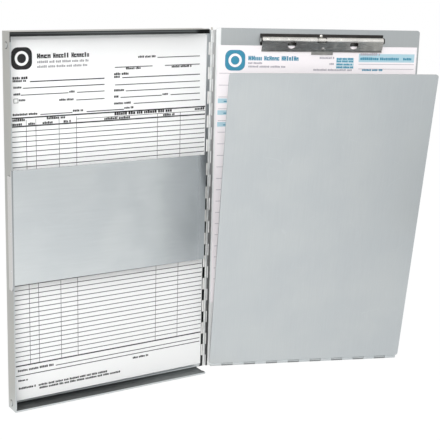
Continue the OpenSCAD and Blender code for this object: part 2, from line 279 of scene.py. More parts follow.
FLOAT = "NodeSocketFloat"
WHOLE = "NodeSocketInt"
VECTOR = "NodeSocketVector"
GEOMETRY = "NodeSocketGeometry"


def made_once(store, name=None):
    """Decorates a maker, which then hands back the data block of that name if there is one.

    Without a name, the maker's own first argument is the name.
    """

    def decorate(make):
        def maker(*given, **fields):
            found = getattr(bpy.data, store).get(name or given[0])
            return found or make(*given, **fields)

        return maker

    return decorate


def feed(tree, node, sources):
    """Gives a node's inputs sockets to join or values to hold."""
    for key, source in sources.items():
        if isinstance(source, bpy.types.NodeSocket):
            tree.links.new(source, node.inputs[key])
        else:
            node.inputs[key].default_value = source


def add(tree, kind, sources=None, **fields):
    """A new node with its fields set and its inputs fed."""
    node = tree.nodes.new(kind)
    for field, value in fields.items():
        setattr(node, field, value)
    feed(tree, node, sources or {})
    return node


def calc(tree, operation, first, second=0.0, third=0.0):
    """The output socket of a math node."""
    return add(tree, "ShaderNodeMath", {0: first, 1: second, 2: third}, operation=operation).outputs[0]


def vector_calc(tree, operation, first, second):
    """The output socket of a vector math node."""
    return add(tree, "ShaderNodeVectorMath", {0: first, 1: second}, operation=operation).outputs[0]


def combined(tree, **parts):
    """A vector socket made of X, Y and Z."""
    return add(tree, "ShaderNodeCombineXYZ", parts).outputs[0]


def split(tree, vector):
    """The X, Y and Z sockets of a vector."""
    return add(tree, "ShaderNodeSeparateXYZ", {0: vector}).outputs


def spread(tree, value, low, high, to_low=0.0, to_high=1.0, kind="SMOOTHSTEP"):
    """The output socket of a map range node, a smooth one unless kind says otherwise."""
    ends = {"From Min": low, "From Max": high, "To Min": to_low, "To Max": to_high}
    node = add(tree, "ShaderNodeMapRange", {"Value": value, **ends}, interpolation_type=kind)
    return node.outputs["Result"]


def between(tree, value, start, full, end, gone, top=1.0):
    """A smooth band: it rises from start to full, and falls from its top from end to gone."""
    rise = spread(tree, value, start, full)
    return calc(tree, "MULTIPLY", rise, spread(tree, value, end, gone, top, 0.0))


def noise(tree, vector, scale, detail, **more):
    """A noise texture node on a vector."""
    return add(tree, "ShaderNodeTexNoise", {"Vector": vector, "Scale": scale, "Detail": detail, **more})


def mixed(tree, factor, first, second, blend="MIX"):
    """The colour socket of a mix node."""
    sources = {0: factor, 6: first, 7: second}
    return add(tree, "ShaderNodeMix", sources, data_type="RGBA", blend_type=blend).outputs[2]


def new_group(name, kind, inputs, outputs):
    """A node group with named sockets, the outputs of its entry node and its exit node."""
    group = bpy.data.node_groups.new(name, kind)
    for label, socket, value in inputs:
        made = group.interface.new_socket(label, in_out="INPUT", socket_type=socket)
        if value is not None:
            made.default_value = value
    for label, socket in outputs:
        group.interface.new_socket(label, in_out="OUTPUT", socket_type=socket)
    entry = group.nodes.new("NodeGroupInput")
    leave = group.nodes.new("NodeGroupOutput")
    return group, entry.outputs, leave


@made_once("node_groups", "rolled sheet")
def rolled_sheet_group():
    """Grain, smudges and height of rolled sheet metal, the grain running along Z."""
    group, given, leave = new_group(
        "rolled sheet",
        "ShaderNodeTree",
        [
            ("Vector", VECTOR, None),
            ("Grain Scale", FLOAT, 900.0),
            ("Grain Length", FLOAT, 30.0),
            ("Smudge Scale", FLOAT, 18.0),
        ],
        [("Grain", FLOAT), ("Smudge", FLOAT), ("Height", FLOAT)],
    )
    shorten = calc(group, "DIVIDE", 1.0, given["Grain Length"])
    stretch = combined(group, X=1.0, Y=1.0, Z=shorten)
    along = vector_calc(group, "MULTIPLY", given["Vector"], stretch)
    grain = noise(group, along, given["Grain Scale"], 4.0, Roughness=0.6)
    smudge = noise(group, given["Vector"], given["Smudge Scale"], 3.0)
    pits = noise(group, given["Vector"], 2600.0, 2.0)
    streaks = spread(group, grain.outputs["Fac"], 0.3, 0.7)
    smudges = spread(group, smudge.outputs["Fac"], 0.32, 0.68)
    height = calc(group, "MULTIPLY_ADD", streaks, 0.7, pits.outputs["Fac"])
    feed(group, leave, {"Grain": streaks, "Smudge": smudges, "Height": height})
    return group


@made_once("node_groups", "handling scratches")
def scratch_group():
    """A thin web of handling scratches, as a mask."""
    group, given, leave = new_group(
        "handling scratches",
        "ShaderNodeTree",
        [("Vector", VECTOR, None), ("Scale", FLOAT, 26.0), ("Amount", FLOAT, 0.5)],
        [("Mask", FLOAT)],
    )
    bent = noise(group, given["Vector"], 9.0, 2.0)
    push = vector_calc(group, "MULTIPLY", bent.outputs["Color"], (0.08, 0.08, 0.08))
    moved = vector_calc(group, "ADD", given["Vector"], push)
    cells = add(
        group,
        "ShaderNodeTexVoronoi",
        {"Vector": moved, "Scale": given["Scale"]},
        feature="DISTANCE_TO_EDGE",
    )
    breaks = noise(group, given["Vector"], 60.0, 3.0)
    line = spread(group, cells.outputs["Distance"], 0.0, 0.012, 1.0, 0.0)
    gaps = spread(group, breaks.outputs["Fac"], 0.5, 0.62)
    web = calc(group, "MULTIPLY", line, gaps)
    feed(group, leave, {"Mask": calc(group, "MULTIPLY", web, given["Amount"])})
    return group


@made_once("node_groups", "painted hinge shade")
def hinge_shade_group():
    """Painted shade that lies along a hinge and grows darker towards its foot, as a mask."""
    group, given, leave = new_group(
        "painted hinge shade",
        "ShaderNodeTree",
        [
            ("Vector", VECTOR, None),
            ("Full", FLOAT, 4 * MM),
            ("End", FLOAT, 6 * MM),
            ("Low", FLOAT, 50 * MM),
            ("High", FLOAT, 360 * MM),
            ("Least", FLOAT, 0.4),
        ],
        [("Mask", FLOAT)],
    )
    at = split(group, given["Vector"])
    away = calc(group, "ABSOLUTE", at["X"])
    blots = noise(group, given["Vector"], 130.0, 3.0)
    ragged = calc(group, "MULTIPLY_ADD", blots.outputs["Fac"], 0.8 * MM, away)
    near = spread(group, ragged, given["Full"], given["End"], 1.0, 0.0)
    low = spread(group, at["Z"], given["Low"], given["High"], 0.95, given["Least"], "LINEAR")
    feed(group, leave, {"Mask": calc(group, "MULTIPLY", near, low)})
    return group


@made_once("node_groups", "paper fibres")
def paper_group():
    """Fibres and faint cockling of a paper sheet."""
    group, given, leave = new_group(
        "paper fibres",
        "ShaderNodeTree",
        [("Vector", VECTOR, None), ("Fibre Scale", FLOAT, 1400.0)],
        [("Fibre", FLOAT), ("Tone", FLOAT), ("Height", FLOAT)],
    )
    fibre = noise(group, given["Vector"], given["Fibre Scale"], 5.0, Roughness=0.65).outputs["Fac"]
    cockle = noise(group, given["Vector"], 11.0, 2.0).outputs["Fac"]
    tone = spread(group, cockle, 0.35, 0.65)
    feed(group, leave, {"Fibre": fibre, "Tone": tone, "Height": calc(group, "ADD", fibre, cockle)})
    return group


# ---------------------------------------------------------------- finishes


def new_finish(name, place):
    """An empty material, its tree and a vector in the frame of its leaf."""
    material = bpy.data.materials.new(name)
    material.use_nodes = True
    tree = material.node_tree
    coordinates = tree.nodes.new("ShaderNodeTexCoord")
    sources = {
        "Vector": coordinates.outputs["Object"],
        "Location": place.to_translation(),
        "Rotation": place.to_euler(),
    }
    mapping = add(tree, "ShaderNodeMapping", sources, vector_type="TEXTURE")
    return material, tree, mapping.outputs[0]


def shaded(material, colour, rough, metal, normal, specular=0.5):
    """A material whose shader has its colour, roughness, metal, normal and specular level."""
    tree = material.node_tree
    sources = {
        "Base Color": colour,
        "Roughness": rough,
        "Metallic": metal,
        "Normal": normal,
        "Specular IOR Level": specular,
    }
    feed(tree, tree.nodes["Principled BSDF"], sources)
    return material


def placed(tree, group, vector, **values):
    """The outputs of a shader node group placed in a material."""
    sources = {"Vector": vector, **{key.replace("_", " "): value for key, value in values.items()}}
    return add(tree, "ShaderNodeGroup", sources, node_tree=group).outputs


def bump(tree, height, strength, distance):
    """A normal socket that lifts the surface by a height."""
    sources = {"Height": height, "Strength": strength, "Distance": distance}
    return add(tree, "ShaderNodeBump", sources).outputs[0]


def tint(colour, factor):
    """A colour made lighter or darker, with its alpha."""
    return (*(min(1.0, c * factor) for c in colour), 1.0)


# Past the start of a bend: where its painted shade line starts, is full, starts to end and ends.
BEND_SHADE_LINE = (0.1 * MM, 0.2 * MM, 1.4 * MM, 2.0 * MM)

# Colours of a bend's painted shade line, the painted light on the flange before it, a strip of
# painted light and the painted shade by the hinge, and the tints of smudges, a duller end's
# painted shade and paper's uneven tone.
BEND_SHADE = (0.06, 0.065, 0.07, 1.0)
FLANGE_LIGHT = (0.80, 0.84, 0.885, 1.0)
LIT_STRIP_COLOUR = (0.84, 0.85, 0.85, 1.0)
HINGE_SHADE_COLOUR = (0.008, 0.008, 0.009, 1.0)
SMUDGE_TINT = (0.965, 0.97, 0.98, 1.0)
END_SHADE_TINT = (0.82, 0.83, 0.84, 1.0)
PAPER_TINT = (0.985, 0.985, 0.99, 1.0)


@made_once("materials")
def satin_sheet(name, place, roughness=0.38, tone=1.0, grime=None, rubbed=None, seam=None, dull=None):
    """Satin aluminium sheet, its grain along Z of its place.

    The painted shade along the hinge takes the values of its group, in order. A pale strip of
    painted light beside the hinge ends where given. Seam is where a bend starts along the grain: it
    keeps a painted shade line, and the flange before it is painted paler as painted light. A duller
    end, painted darker as painted shade, starts and is full where given. Tone scales the colour
    to paint each part lighter or darker, as painted light or shade.
    """
    material, tree, vector = new_finish(name, place)
    base = tint(colours().aluminium, tone)[:3]
    sheet = placed(tree, rolled_sheet_group(), vector)
    scratches = placed(tree, scratch_group(), vector, Amount=0.12)["Mask"]
    along = split(tree, vector)
    metal = 1.0
    rough = spread(tree, sheet["Smudge"], 0.0, 1.0, roughness, roughness + 0.08)
    colour = mixed(tree, sheet["Grain"], tint(base, 0.985), tint(base, 1.012))
    colour = mixed(tree, sheet["Smudge"], colour, SMUDGE_TINT, "MULTIPLY")
    colour = mixed(tree, scratches, colour, tint(base, 1.25))
    # Painted shade: a dark line at the bend; painted light: a paler flange before it.
    if seam is not None:
        ends = [seam + end for end in BEND_SHADE_LINE]
        colour = mixed(tree, spread(tree, along["Z"], *ends[:2]), FLANGE_LIGHT, colour)
        colour = mixed(tree, between(tree, along["Z"], *ends, 0.5), colour, BEND_SHADE)
    # Painted light: a pale, less metallic strip beside the hinge.
    if rubbed is not None:
        strip = spread(tree, along["X"], rubbed, rubbed + MM, 1.0, 0.0)
        colour = mixed(tree, strip, colour, LIT_STRIP_COLOUR)
        metal = spread(tree, strip, 0.0, 1.0, 1.0, 0.25)
    # Painted shade along the hinge, darker towards the foot.
    if grime:
        values = dict(zip(("Full", "End", "Low", "High", "Least"), grime))
        mask = placed(tree, hinge_shade_group(), vector, **values)["Mask"]
        colour = mixed(tree, mask, colour, HINGE_SHADE_COLOUR)
    # The end is rougher, and painted darker as painted shade.
    if dull:
        colour = mixed(tree, spread(tree, along["Z"], *dull), colour, END_SHADE_TINT, "MULTIPLY")
        rough = calc(tree, "ADD", rough, spread(tree, along["Z"], *dull, 0.0, 0.14))
    rough = calc(tree, "SUBTRACT", rough, calc(tree, "MULTIPLY", scratches, 0.06))
    return shaded(material, colour, rough, metal, bump(tree, sheet["Height"], 0.05, 0.02 * MM))


# Painted highlight on the knuckles of the side hinge.
KNUCKLE_HIGHLIGHT = (0.86, 0.875, 0.87)


@made_once("materials", "highlit_knuckle")
def knuckle_highlight_sheet():
    """The side hinge's sheet where it is rolled round the pin, made paler as a painted highlight."""
    material, tree, vector = new_finish("highlit_knuckle", TRAY)
    sheet = placed(tree, rolled_sheet_group(), vector, Smudge_Scale=140.0)
    colour = mixed(tree, sheet["Smudge"], tint(KNUCKLE_HIGHLIGHT, 0.9), tint(KNUCKLE_HIGHLIGHT, 1.03))
    rough = spread(tree, sheet["Grain"], 0.0, 1.0, 0.42, 0.52)
    return shaded(material, colour, rough, 0.55, bump(tree, sheet["Height"], 0.1, 0.02 * MM))


# The painted shade and painted highlights on the tray's rim. Below the lip's top: where a paler
# band of painted highlight starts, is full, starts to end and ends, and where the lip's black
# painted shade starts to end and ends. Along the rim from the hinge's axis: where the black at the
# left starts to thin out and has, and where the black tip at the right starts and is full. The
# foot is painted paler as a painted reflection: where along it that starts and is full, and the
# heights that it starts below and is full below, counted downwards.
LIP_HIGHLIGHT = (0.9 * MM, 1.3 * MM, 2.0 * MM, 2.4 * MM)
LIP_END = (6 * MM, 8 * MM)
LEFT_BLACK = (-225 * MM, -120 * MM)
RIGHT_BLACK = (-35 * MM, -27 * MM)
FOOT_LIT = (-140 * MM, -20 * MM)
FOOT_LIT_TOP = (-20 * MM, -10 * MM)
LIP_BLACK = (0.004, 0.004, 0.004, 1.0)


@made_once("materials", "painted_shade_rim")
def shaded_rim_sheet():
    """The sheet of the tray's rim, darkened as painted shade with painted highlights, with the same
    grain.
    """
    material, tree, vector = new_finish("painted_shade_rim", TRAY @ GRAIN_ACROSS)
    base = colours().rim
    sheet = placed(tree, rolled_sheet_group(), vector, Grain_Length=60.0)
    at = split(tree, vector)
    along, down = at["Z"], at["X"]
    colour = mixed(tree, sheet["Grain"], tint(base, 0.7), tint(base, 1.5))
    colour = mixed(tree, sheet["Smudge"], colour, tint(base, 0.8))
    painted_shading = calc(tree, "MULTIPLY", spread(tree, along, *FOOT_LIT), spread(tree, down, *FOOT_LIT_TOP))
    colour = mixed(tree, painted_shading, colour, tint(base, 2.6))
    below_top = calc(tree, "ADD", down, reach("tray_pan", TRAY)[1].z)
    colour = mixed(tree, between(tree, below_top, *LIP_HIGHLIGHT), colour, tint(base, 2.4))
    left_part = spread(tree, along, *LEFT_BLACK, 0.5, 1.0)
    kept = calc(tree, "MULTIPLY", left_part, spread(tree, along, *RIGHT_BLACK, 1.0, 0.12))
    kept = calc(tree, "MAXIMUM", kept, spread(tree, below_top, *LIP_END))
    colour = mixed(tree, kept, LIP_BLACK, colour)
    rough = spread(tree, sheet["Grain"], 0.0, 1.0, 0.34, 0.44)
    return shaded(material, colour, rough, 1.0, bump(tree, sheet["Height"], 0.1, 0.03 * MM))


@made_once("materials")
def nickel_plate(name, roughness=0.2, factor=1.0):
    """Nickel plating with fine polishing marks; roughness makes it duller, and a factor below one
    darkens it as painted shade.
    """
    material, tree, vector = new_finish(name, BOARD @ GRAIN_ACROSS)
    base = colours().nickel
    scales = {"Grain_Scale": 1500.0, "Grain_Length": 25.0, "Smudge_Scale": 60.0}
    sheet = placed(tree, rolled_sheet_group(), vector, **scales)
    scratches = placed(tree, scratch_group(), vector, Scale=90.0, Amount=0.4)["Mask"]
    colour = mixed(tree, sheet["Smudge"], tint(base, 0.92 * factor), tint(base, 1.05 * factor))
    colour = mixed(tree, scratches, colour, tint(base, 1.2 * factor))
    rough = spread(tree, sheet["Grain"], 0.0, 1.0, roughness, roughness + 0.1)
    waves = noise(tree, vector, 70.0, 1.0, Distortion=0.6).outputs["Fac"]
    height = calc(tree, "ADD", waves, calc(tree, "MULTIPLY", sheet["Height"], 0.01))
    return shaded(material, colour, rough, 1.0, bump(tree, height, 0.7, 1.3 * MM))


@made_once("materials", "black_oxide_and_shade")
def black_oxide_and_shade():
    """Blackened steel of the clip's base; the black also stands in as painted shade behind the barrel.
    """
    material, tree, vector = new_finish("black_oxide_and_shade", BOARD)
    base = colours().oxide
    sheet = placed(tree, rolled_sheet_group(), vector, Smudge_Scale=45.0)
    colour = mixed(tree, sheet["Smudge"], tint(base, 0.8), tint(base, 1.7))
    rough = spread(tree, sheet["Smudge"], 0.0, 1.0, 0.42, 0.55)
    return shaded(material, colour, rough, 0.4, bump(tree, sheet["Height"], 0.15, 0.03 * MM))


@made_once("materials")
def paper(name, base, place):
    """Uncoated form paper."""
    material, tree, vector = new_finish(name, place)
    fibres = placed(tree, paper_group(), vector)
    colour = mixed(tree, fibres["Fibre"], tint(base, 0.975), tint(base, 1.02))
    colour = mixed(tree, fibres["Tone"], colour, PAPER_TINT, "MULTIPLY")
    rough = spread(tree, fibres["Fibre"], 0.2, 0.8, 0.82, 0.95)
    return shaded(material, colour, rough, 0.0, bump(tree, fibres["Height"], 0.2, 0.02 * MM), 0.25)


@made_once("materials")
def ink(name, base, place):
    """Printing ink that the paper's fibres break up a little."""
    material, tree, vector = new_finish(name, place)
    fibres = placed(tree, paper_group(), vector, Fibre_Scale=2200.0)
    thinner = (*(c + 0.12 * (0.9 - c) for c in base), 1.0)
    breaks = spread(tree, fibres["Fibre"], 0.52, 0.7)
    colour = mixed(tree, breaks, (*base, 1.0), thinner)
    rough = spread(tree, fibres["Fibre"], 0.2, 0.8, 0.6, 0.8)
    return shaded(material, colour, rough, 0.0, bump(tree, fibres["Height"], 0.12, 0.01 * MM), 0.3)


# ---------------------------------------------------------------- making meshes

# How far apart points may lie that are one point.
WELD = 0.002 * MM


def link(name, data):
    """A new object in the scene, with a mesh, a lamp or a camera as its data."""
    piece = bpy.data.objects.new(name, data)
    bpy.context.scene.collection.objects.link(piece)
    return piece


def welded(node):
    """A copy of a CAD node's mesh with its loose triangles joined."""
    source = bmesh.new()
    source.from_mesh(frame["nodes"][node].data)
    bmesh.ops.remove_doubles(source, verts=source.verts, dist=WELD)
    return source


def merged(node):
    """A welded copy of a CAD node's mesh with the triangles of each flat face made one face."""
    source = welded(node)
    bmesh.ops.dissolve_degenerate(source, edges=source.edges, dist=0.5 * WELD)
    bmesh.ops.dissolve_limit(
        source,
        angle_limit=math.radians(0.5),
        verts=source.verts,
        edges=source.edges,
        delimit={"NORMAL"},
    )
    return source


def ridden(piece, body, slot, replaced=()):
    """Puts a finished piece on its body and hides the CAD nodes it replaces; its slot is not used."""
    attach(piece, body)
    if replaced:
        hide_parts(*replaced)
    return piece


def dressed(node, name, body, slot, finishes, choose=None, rounding=None):
    """Stands for a CAD node with rounded cut edges; choose picks a finish for each face."""
    source = merged(node)
    for face in source.faces:
        face.smooth = True
        if choose:
            face.material_index = choose(face)
    mesh = bpy.data.meshes.new(name)
    source.to_mesh(mesh)
    source.free()
    for finish in finishes:
        mesh.materials.append(finish)
    holder = link(name + "_raw", mesh)
    bevel = holder.modifiers.new("rounding", "BEVEL")
    bevel.width = rounding or sizes().edge_round
    bevel.segments = 2
    bevel.limit_method = "ANGLE"
    bevel.angle_limit = math.radians(40)
    holder.modifiers.new("shading", "WEIGHTED_NORMAL").keep_sharp = True
    return ridden(settled(holder, name), body, slot, [node])


def repaint(node, finish):
    """A CAD node keeps its shape and gets a better material."""
    for slot in frame["nodes"][node].material_slots:
        slot.material = finish


def settled(holder, name):
    """The plain mesh of an object with its modifiers applied; the object is removed."""
    graph = bpy.context.evaluated_depsgraph_get()
    mesh = bpy.data.meshes.new_from_object(holder.evaluated_get(graph))
    bpy.data.objects.remove(holder)
    mesh.name = name
    return link(name, mesh)


def grown(name, points, tree, values, place, spans=()):
    """The plain mesh that a Geometry Nodes tree makes from points, with a size for each if given."""
    mesh = bpy.data.meshes.new(name)
    mesh.from_pydata([tuple(p) for p in points], [], [])
    if spans:
        attribute = mesh.attributes.new("size", "FLOAT_VECTOR", "POINT")
        attribute.data.foreach_set("vector", [c for span in spans for c in span])
    holder = link(name + "_points", mesh)
    modifier = holder.modifiers.new("grow", "NODES")
    modifier.node_group = tree
    for item in tree.interface.items_tree:
        if item.item_type == "SOCKET" and item.in_out == "INPUT" and item.name in values:
            modifier[item.identifier] = values[item.name]
    piece = settled(holder, name)
    piece.data.transform(place)
    return piece


def lathe(name, profile, segments=24):
    """A solid turned about Z from [radius, height] points, first and last on the axis."""
    mesh = bmesh.new()
    angles = [2 * math.pi * i / segments for i in range(segments)]
    rings = []
    for radius, height in profile:
        ring = [(radius * math.cos(a), radius * math.sin(a), height) for a in angles]
        rings.append([mesh.verts.new(p) for p in (ring if radius else [(0, 0, height)])])
    for below, above in zip(rings, rings[1:]):
        for i in range(segments):
            pairs = ((below, i), (below, i + 1), (above, i + 1), (above, i))
            corners = [ring[k % segments % len(ring)] for ring, k in pairs]
            mesh.faces.new([c for k, c in enumerate(corners) if c not in corners[:k]])
    bmesh.ops.recalc_face_normals(mesh, faces=mesh.faces)
    for face in mesh.faces:
        face.smooth = True
    made = bpy.data.meshes.new(name)
    mesh.to_mesh(made)
    mesh.free()
    made.set_sharp_from_angle(angle=math.radians(50))
    return made


# ---------------------------------------------------------------- trees


def tree_of(name, inputs):
    """A Geometry Nodes tree that takes points, with named inputs."""
    sockets = [("Geometry", GEOMETRY, None), *inputs, ("Finish", "NodeSocketMaterial", None)]
    tree, given, leave = new_group(name, "GeometryNodeTree", sockets, [("Geometry", GEOMETRY)])
    tree.is_modifier = True
    return tree, given, leave


def end_tree(tree, given, leave, geometry):
    """Every tree ends in Realize Instances and Set Material."""
    real = add(tree, "GeometryNodeRealizeInstances", {"Geometry": geometry})
    sources = {"Geometry": real.outputs[0], "Material": given["Finish"]}
    finish = add(tree, "GeometryNodeSetMaterial", sources)
    feed(tree, leave, {"Geometry": finish.outputs[0]})
    return tree


def on_points(tree, points, instance, **more):
    """The instances of a geometry on points."""
    sources = {"Points": points, "Instance": instance, **more}
    return add(tree, "GeometryNodeInstanceOnPoints", sources).outputs[0]


def random_value(tree, kind, low, high, seed):
    """The output socket of a random value node, which has its own sockets for each kind."""
    first, out = (0, 0) if kind == "FLOAT_VECTOR" else (2, 1)
    sources = {first: low, first + 1: high, "Seed": seed}
    return add(tree, "FunctionNodeRandomValue", sources, data_type=kind).outputs[out]


@made_once("node_groups", "row of fasteners")
def fastener_tree():
    """One fastener on each point, all turned the same way, each spun about its own axis."""
    inputs = [
        ("Part", "NodeSocketObject", None),
        ("Turn", "NodeSocketRotation", None),
        ("Size Spread", FLOAT, 0.03),
        ("Seed", WHOLE, 1),
    ]
    tree, given, leave = tree_of("row of fasteners", inputs)
    part = add(tree, "GeometryNodeObjectInfo", {"Object": given["Part"]})
    spin = random_value(tree, "FLOAT", 0.0, 2 * math.pi, given["Seed"])
    own = add(tree, "FunctionNodeEulerToRotation", {0: combined(tree, Z=spin)})
    sources = {0: given["Turn"], 1: own.outputs[0]}
    turn = add(tree, "FunctionNodeRotateRotation", sources, rotation_space="LOCAL")
    least = calc(tree, "SUBTRACT", 1.0, given["Size Spread"])
    scale = random_value(tree, "FLOAT", least, 1.0, given["Seed"])
    placing = {"Rotation": turn.outputs[0], "Scale": scale}
    row = on_points(tree, given["Geometry"], part.outputs["Geometry"], **placing)
    return end_tree(tree, given, leave, row)


@made_once("node_groups", "printed marks")
def marks_tree():
    """A flat printed mark on each point, as wide and tall as the point's size says."""
    tree, given, leave = tree_of("printed marks", [("Weight", FLOAT, 1.0)])
    square = {"Size X": 1.0, "Size Y": 1.0, "Vertices X": 2, "Vertices Y": 2}
    mark = add(tree, "GeometryNodeMeshGrid", square)
    stood = {"Geometry": mark.outputs[0], "Rotation": (math.pi / 2, 0.0, 0.0)}
    standing = add(tree, "GeometryNodeTransform", stood)
    size = add(tree, "GeometryNodeInputNamedAttribute", {"Name": "size"}, data_type="FLOAT_VECTOR")
    weight = combined(tree, X=1.0, Y=1.0, Z=given["Weight"])
    scale = vector_calc(tree, "MULTIPLY", size.outputs["Attribute"], weight)
    marks = on_points(tree, given["Geometry"], standing.outputs[0], Scale=scale)
    return end_tree(tree, given, leave, marks)


# How much of its pitch in a stack one sheet fills.
SHEET_SHARE = 0.72


@made_once("node_groups", "stack of sheets")
def stack_tree():
    """Sheets behind one another, each a little out of line with the next."""
    inputs = [
        ("Width", FLOAT, 200 * MM),
        ("Length", FLOAT, 300 * MM),
        ("Pitch", FLOAT, 0.1 * MM),
        ("Count", WHOLE, 10),
        ("Jitter", FLOAT, 0.3 * MM),
        ("Seed", WHOLE, 3),
    ]
    tree, given, leave = tree_of("stack of sheets", inputs)
    step = combined(tree, Y=given["Pitch"])
    row = add(tree, "GeometryNodeMeshLine", {"Count": given["Count"], "Offset": step})
    lower = calc(tree, "MULTIPLY", given["Jitter"], -1.0)
    low = combined(tree, X=lower, Z=lower)
    high = combined(tree, X=given["Jitter"], Z=given["Jitter"])
    shift = random_value(tree, "FLOAT_VECTOR", low, high, given["Seed"])
    moved = add(tree, "GeometryNodeSetPosition", {"Geometry": row.outputs[0], "Offset": shift})
    thick = calc(tree, "MULTIPLY", given["Pitch"], SHEET_SHARE)
    size = combined(tree, X=given["Width"], Y=thick, Z=given["Length"])
    sheet = add(tree, "GeometryNodeMeshCube", {"Size": size})
    return end_tree(tree, given, leave, on_points(tree, moved.outputs[0], sheet.outputs[0]))


@made_once("node_groups", "coil spring")
def spring_tree():
    """A close-wound coil along Z with a straight leg along Y."""
    inputs = [
        ("Coil Radius", FLOAT, 2.5 * MM),
        ("Wire Radius", FLOAT, 0.4 * MM),
        ("Turns", FLOAT, 10.0),
        ("Length", FLOAT, 8 * MM),
        ("Leg", FLOAT, 6 * MM),
    ]
    tree, given, leave = tree_of("coil spring", inputs)
    radius = given["Coil Radius"]
    sources = {
        "Resolution": 20,
        "Rotations": given["Turns"],
        "Start Radius": radius,
        "End Radius": radius,
        "Height": given["Length"],
    }
    coil = add(tree, "GeometryNodeCurveSpiral", sources)
    ends = {"Start": combined(tree, X=radius), "End": combined(tree, X=radius, Y=given["Leg"])}
    leg = add(tree, "GeometryNodeCurvePrimitiveLine", ends)
    both = add(tree, "GeometryNodeJoinGeometry")
    for curve in (coil, leg):
        feed(tree, both, {0: curve.outputs[0]})
    section = {"Resolution": 10, "Radius": given["Wire Radius"]}
    wire = add(tree, "GeometryNodeCurvePrimitiveCircle", section)
    sources = {"Curve": both.outputs[0], "Profile Curve": wire.outputs[0], "Fill Caps": True}
    swept = add(tree, "GeometryNodeCurveToMesh", sources)
    smooth = add(tree, "GeometryNodeSetShadeSmooth", {"Geometry": swept.outputs[0]})
    return end_tree(tree, given, leave, smooth.outputs[0])


# ---------------------------------------------------------------- rivets

FRONT = Euler((math.radians(90), 0, 0))
REAR = Euler((math.radians(-90), 0, 0))
LEFT = Euler((0, math.radians(-90), 0))
RIGHT = Euler((0, math.radians(90), 0))


def rivet_profile(radius, height, dimple):
    """Half outline of a set rivet head, down to a short shank."""
    dome = [
        (radius * math.cos(a), height * (0.25 + 0.75 * math.sin(a)))
        for a in (math.radians(d) for d in (0, 18, 36, 54, 70))
    ]
    return [
        (0, -0.2 * height),
        (radius * 0.96, -0.2 * height),
        (radius, 0),
        *dome,
        (radius * 0.2, height - 0.4 * dimple),
        (0, height - dimple),
    ]


def rivet_row(name, body, spots, head, facing, place, finish, seed, nodes=()):
    """Rivet heads on spots of a leaf's frame; facing turns +Z to where the heads look."""
    radius, height = head
    dimple = min(sizes().rivet_dimple, 0.3 * height)
    one = link(name + "_head", lathe(name + "_head", rivet_profile(radius, height, dimple)))
    values = {"Part": one, "Turn": facing, "Seed": seed, "Finish": finish}
    row = grown(name, spots, fastener_tree(), values, place)
    bpy.data.objects.remove(one)
    return ridden(row, body, "bright_steel", nodes)


def islands(node, place):
    """Lowest and highest corner of each loose solid of a CAD node, in a leaf's own frame."""
    source = welded(node)
    inverse = place.inverted()
    left = set(source.verts)
    boxes = []
    while left:
        queue = [left.pop()]
        found = []
        while queue:
            vert = queue.pop()
            found.append(inverse @ vert.co)
            for edge in vert.link_edges:
                other = edge.other_vert(vert)
                if other in left:
                    left.remove(other)
                    queue.append(other)
        boxes.append(corners_of(found))
    source.free()
    return sorted(boxes, key=lambda box: (round(box[0].z, 4), box[0].x))


def side_spots(node, x):
    """The middle of each of the tray's rivets of a node, moved along X to a wall's face."""
    return [(x, (low.y + high.y) / 2, (low.z + high.z) / 2) for low, high in islands(node, TRAY)]


def end_spots(node, place, front_in, rear_in):
    """The middles of the rivets' front and rear ends, moved in, in a leaf's own frame."""
    front, rear = [], []
    for low, high in islands(node, place):
        x, z = (low.x + high.x) / 2, (low.z + high.z) / 2
        front.append((x, low.y + front_in, z))
        rear.append((x, high.y - rear_in, z))
    return front, rear


# ---------------------------------------------------------------- printing


# How much taller a block is than the small print that it stands for.
BLOCK_CAP = 1.24


def greeked(rng, start, end, line, cap, words=(3, 7)):
    """Letter-sized blocks in words, standing on a line of a form."""
    blocks = []
    cap *= BLOCK_CAP
    at = start
    while at < end - 0.4 * cap:
        for _ in range(rng.randint(*words)):
            width = cap * rng.uniform(0.5, 0.78)
            height = cap * rng.choice((0.8, 0.9, 1.0))
            if at + width > end:
                break
            blocks.append((at + width / 2, line + height / 2, width, height))
            at += width + 0.13 * cap
        at += 0.45 * cap
    return blocks


# Strokes of marks that only look like letters, as left, low, right and top.
STROKES = {
    "stems": ((0, 0, 0.43, 1), (0.57, 0, 1, 1)),
    "post": ((0.15, 0, 0.78, 1.3),),
    "gate": ((0, 0, 0.43, 1.3), (0.57, 0, 1, 1.3), (0.43, 0.4, 0.57, 0.85)),
    "arch": ((0, 0, 0.42, 1), (0.58, 0, 1, 1), (0.42, 0.6, 0.58, 1)),
    "slab": ((0, 0, 0.48, 1), (0.48, 0, 1, 0.38), (0.48, 0.62, 1, 1)),
    "comb": ((0, 0, 0.3, 1), (0.36, 0, 0.64, 1), (0.7, 0, 1, 1), (0.3, 0.64, 0.7, 1)),
}


def bold_word(rng, start, end, line, height, letters):
    """A bold made-up word that starts with a tall letter and fills its width."""
    blocks = []
    slot = (end - start) / letters
    width = 0.9 * slot
    kinds = list(STROKES)
    for i in range(letters):
        kind = "gate" if i == 0 else rng.choice(kinds)
        left = start + i * slot
        for x0, z0, x1, z1 in STROKES[kind]:
            middle = (left + width * (x0 + x1) / 2, line + height * (z0 + z1) / 2)
            blocks.append((*middle, width * (x1 - x0), height * (z1 - z0)))
    return blocks


def across(start, end, line, weight):
    """A horizontal rule."""
    return ((start + end) / 2, line, end - start, weight)


def upright(at, low, high, weight):
    """A vertical rule."""
    return (at, (low + high) / 2, weight, high - low)


# Steps round a seal, and halvings of the search for its rounded edge on each ray.
SEAL_STEPS = 72
SEAL_HALVINGS = 24


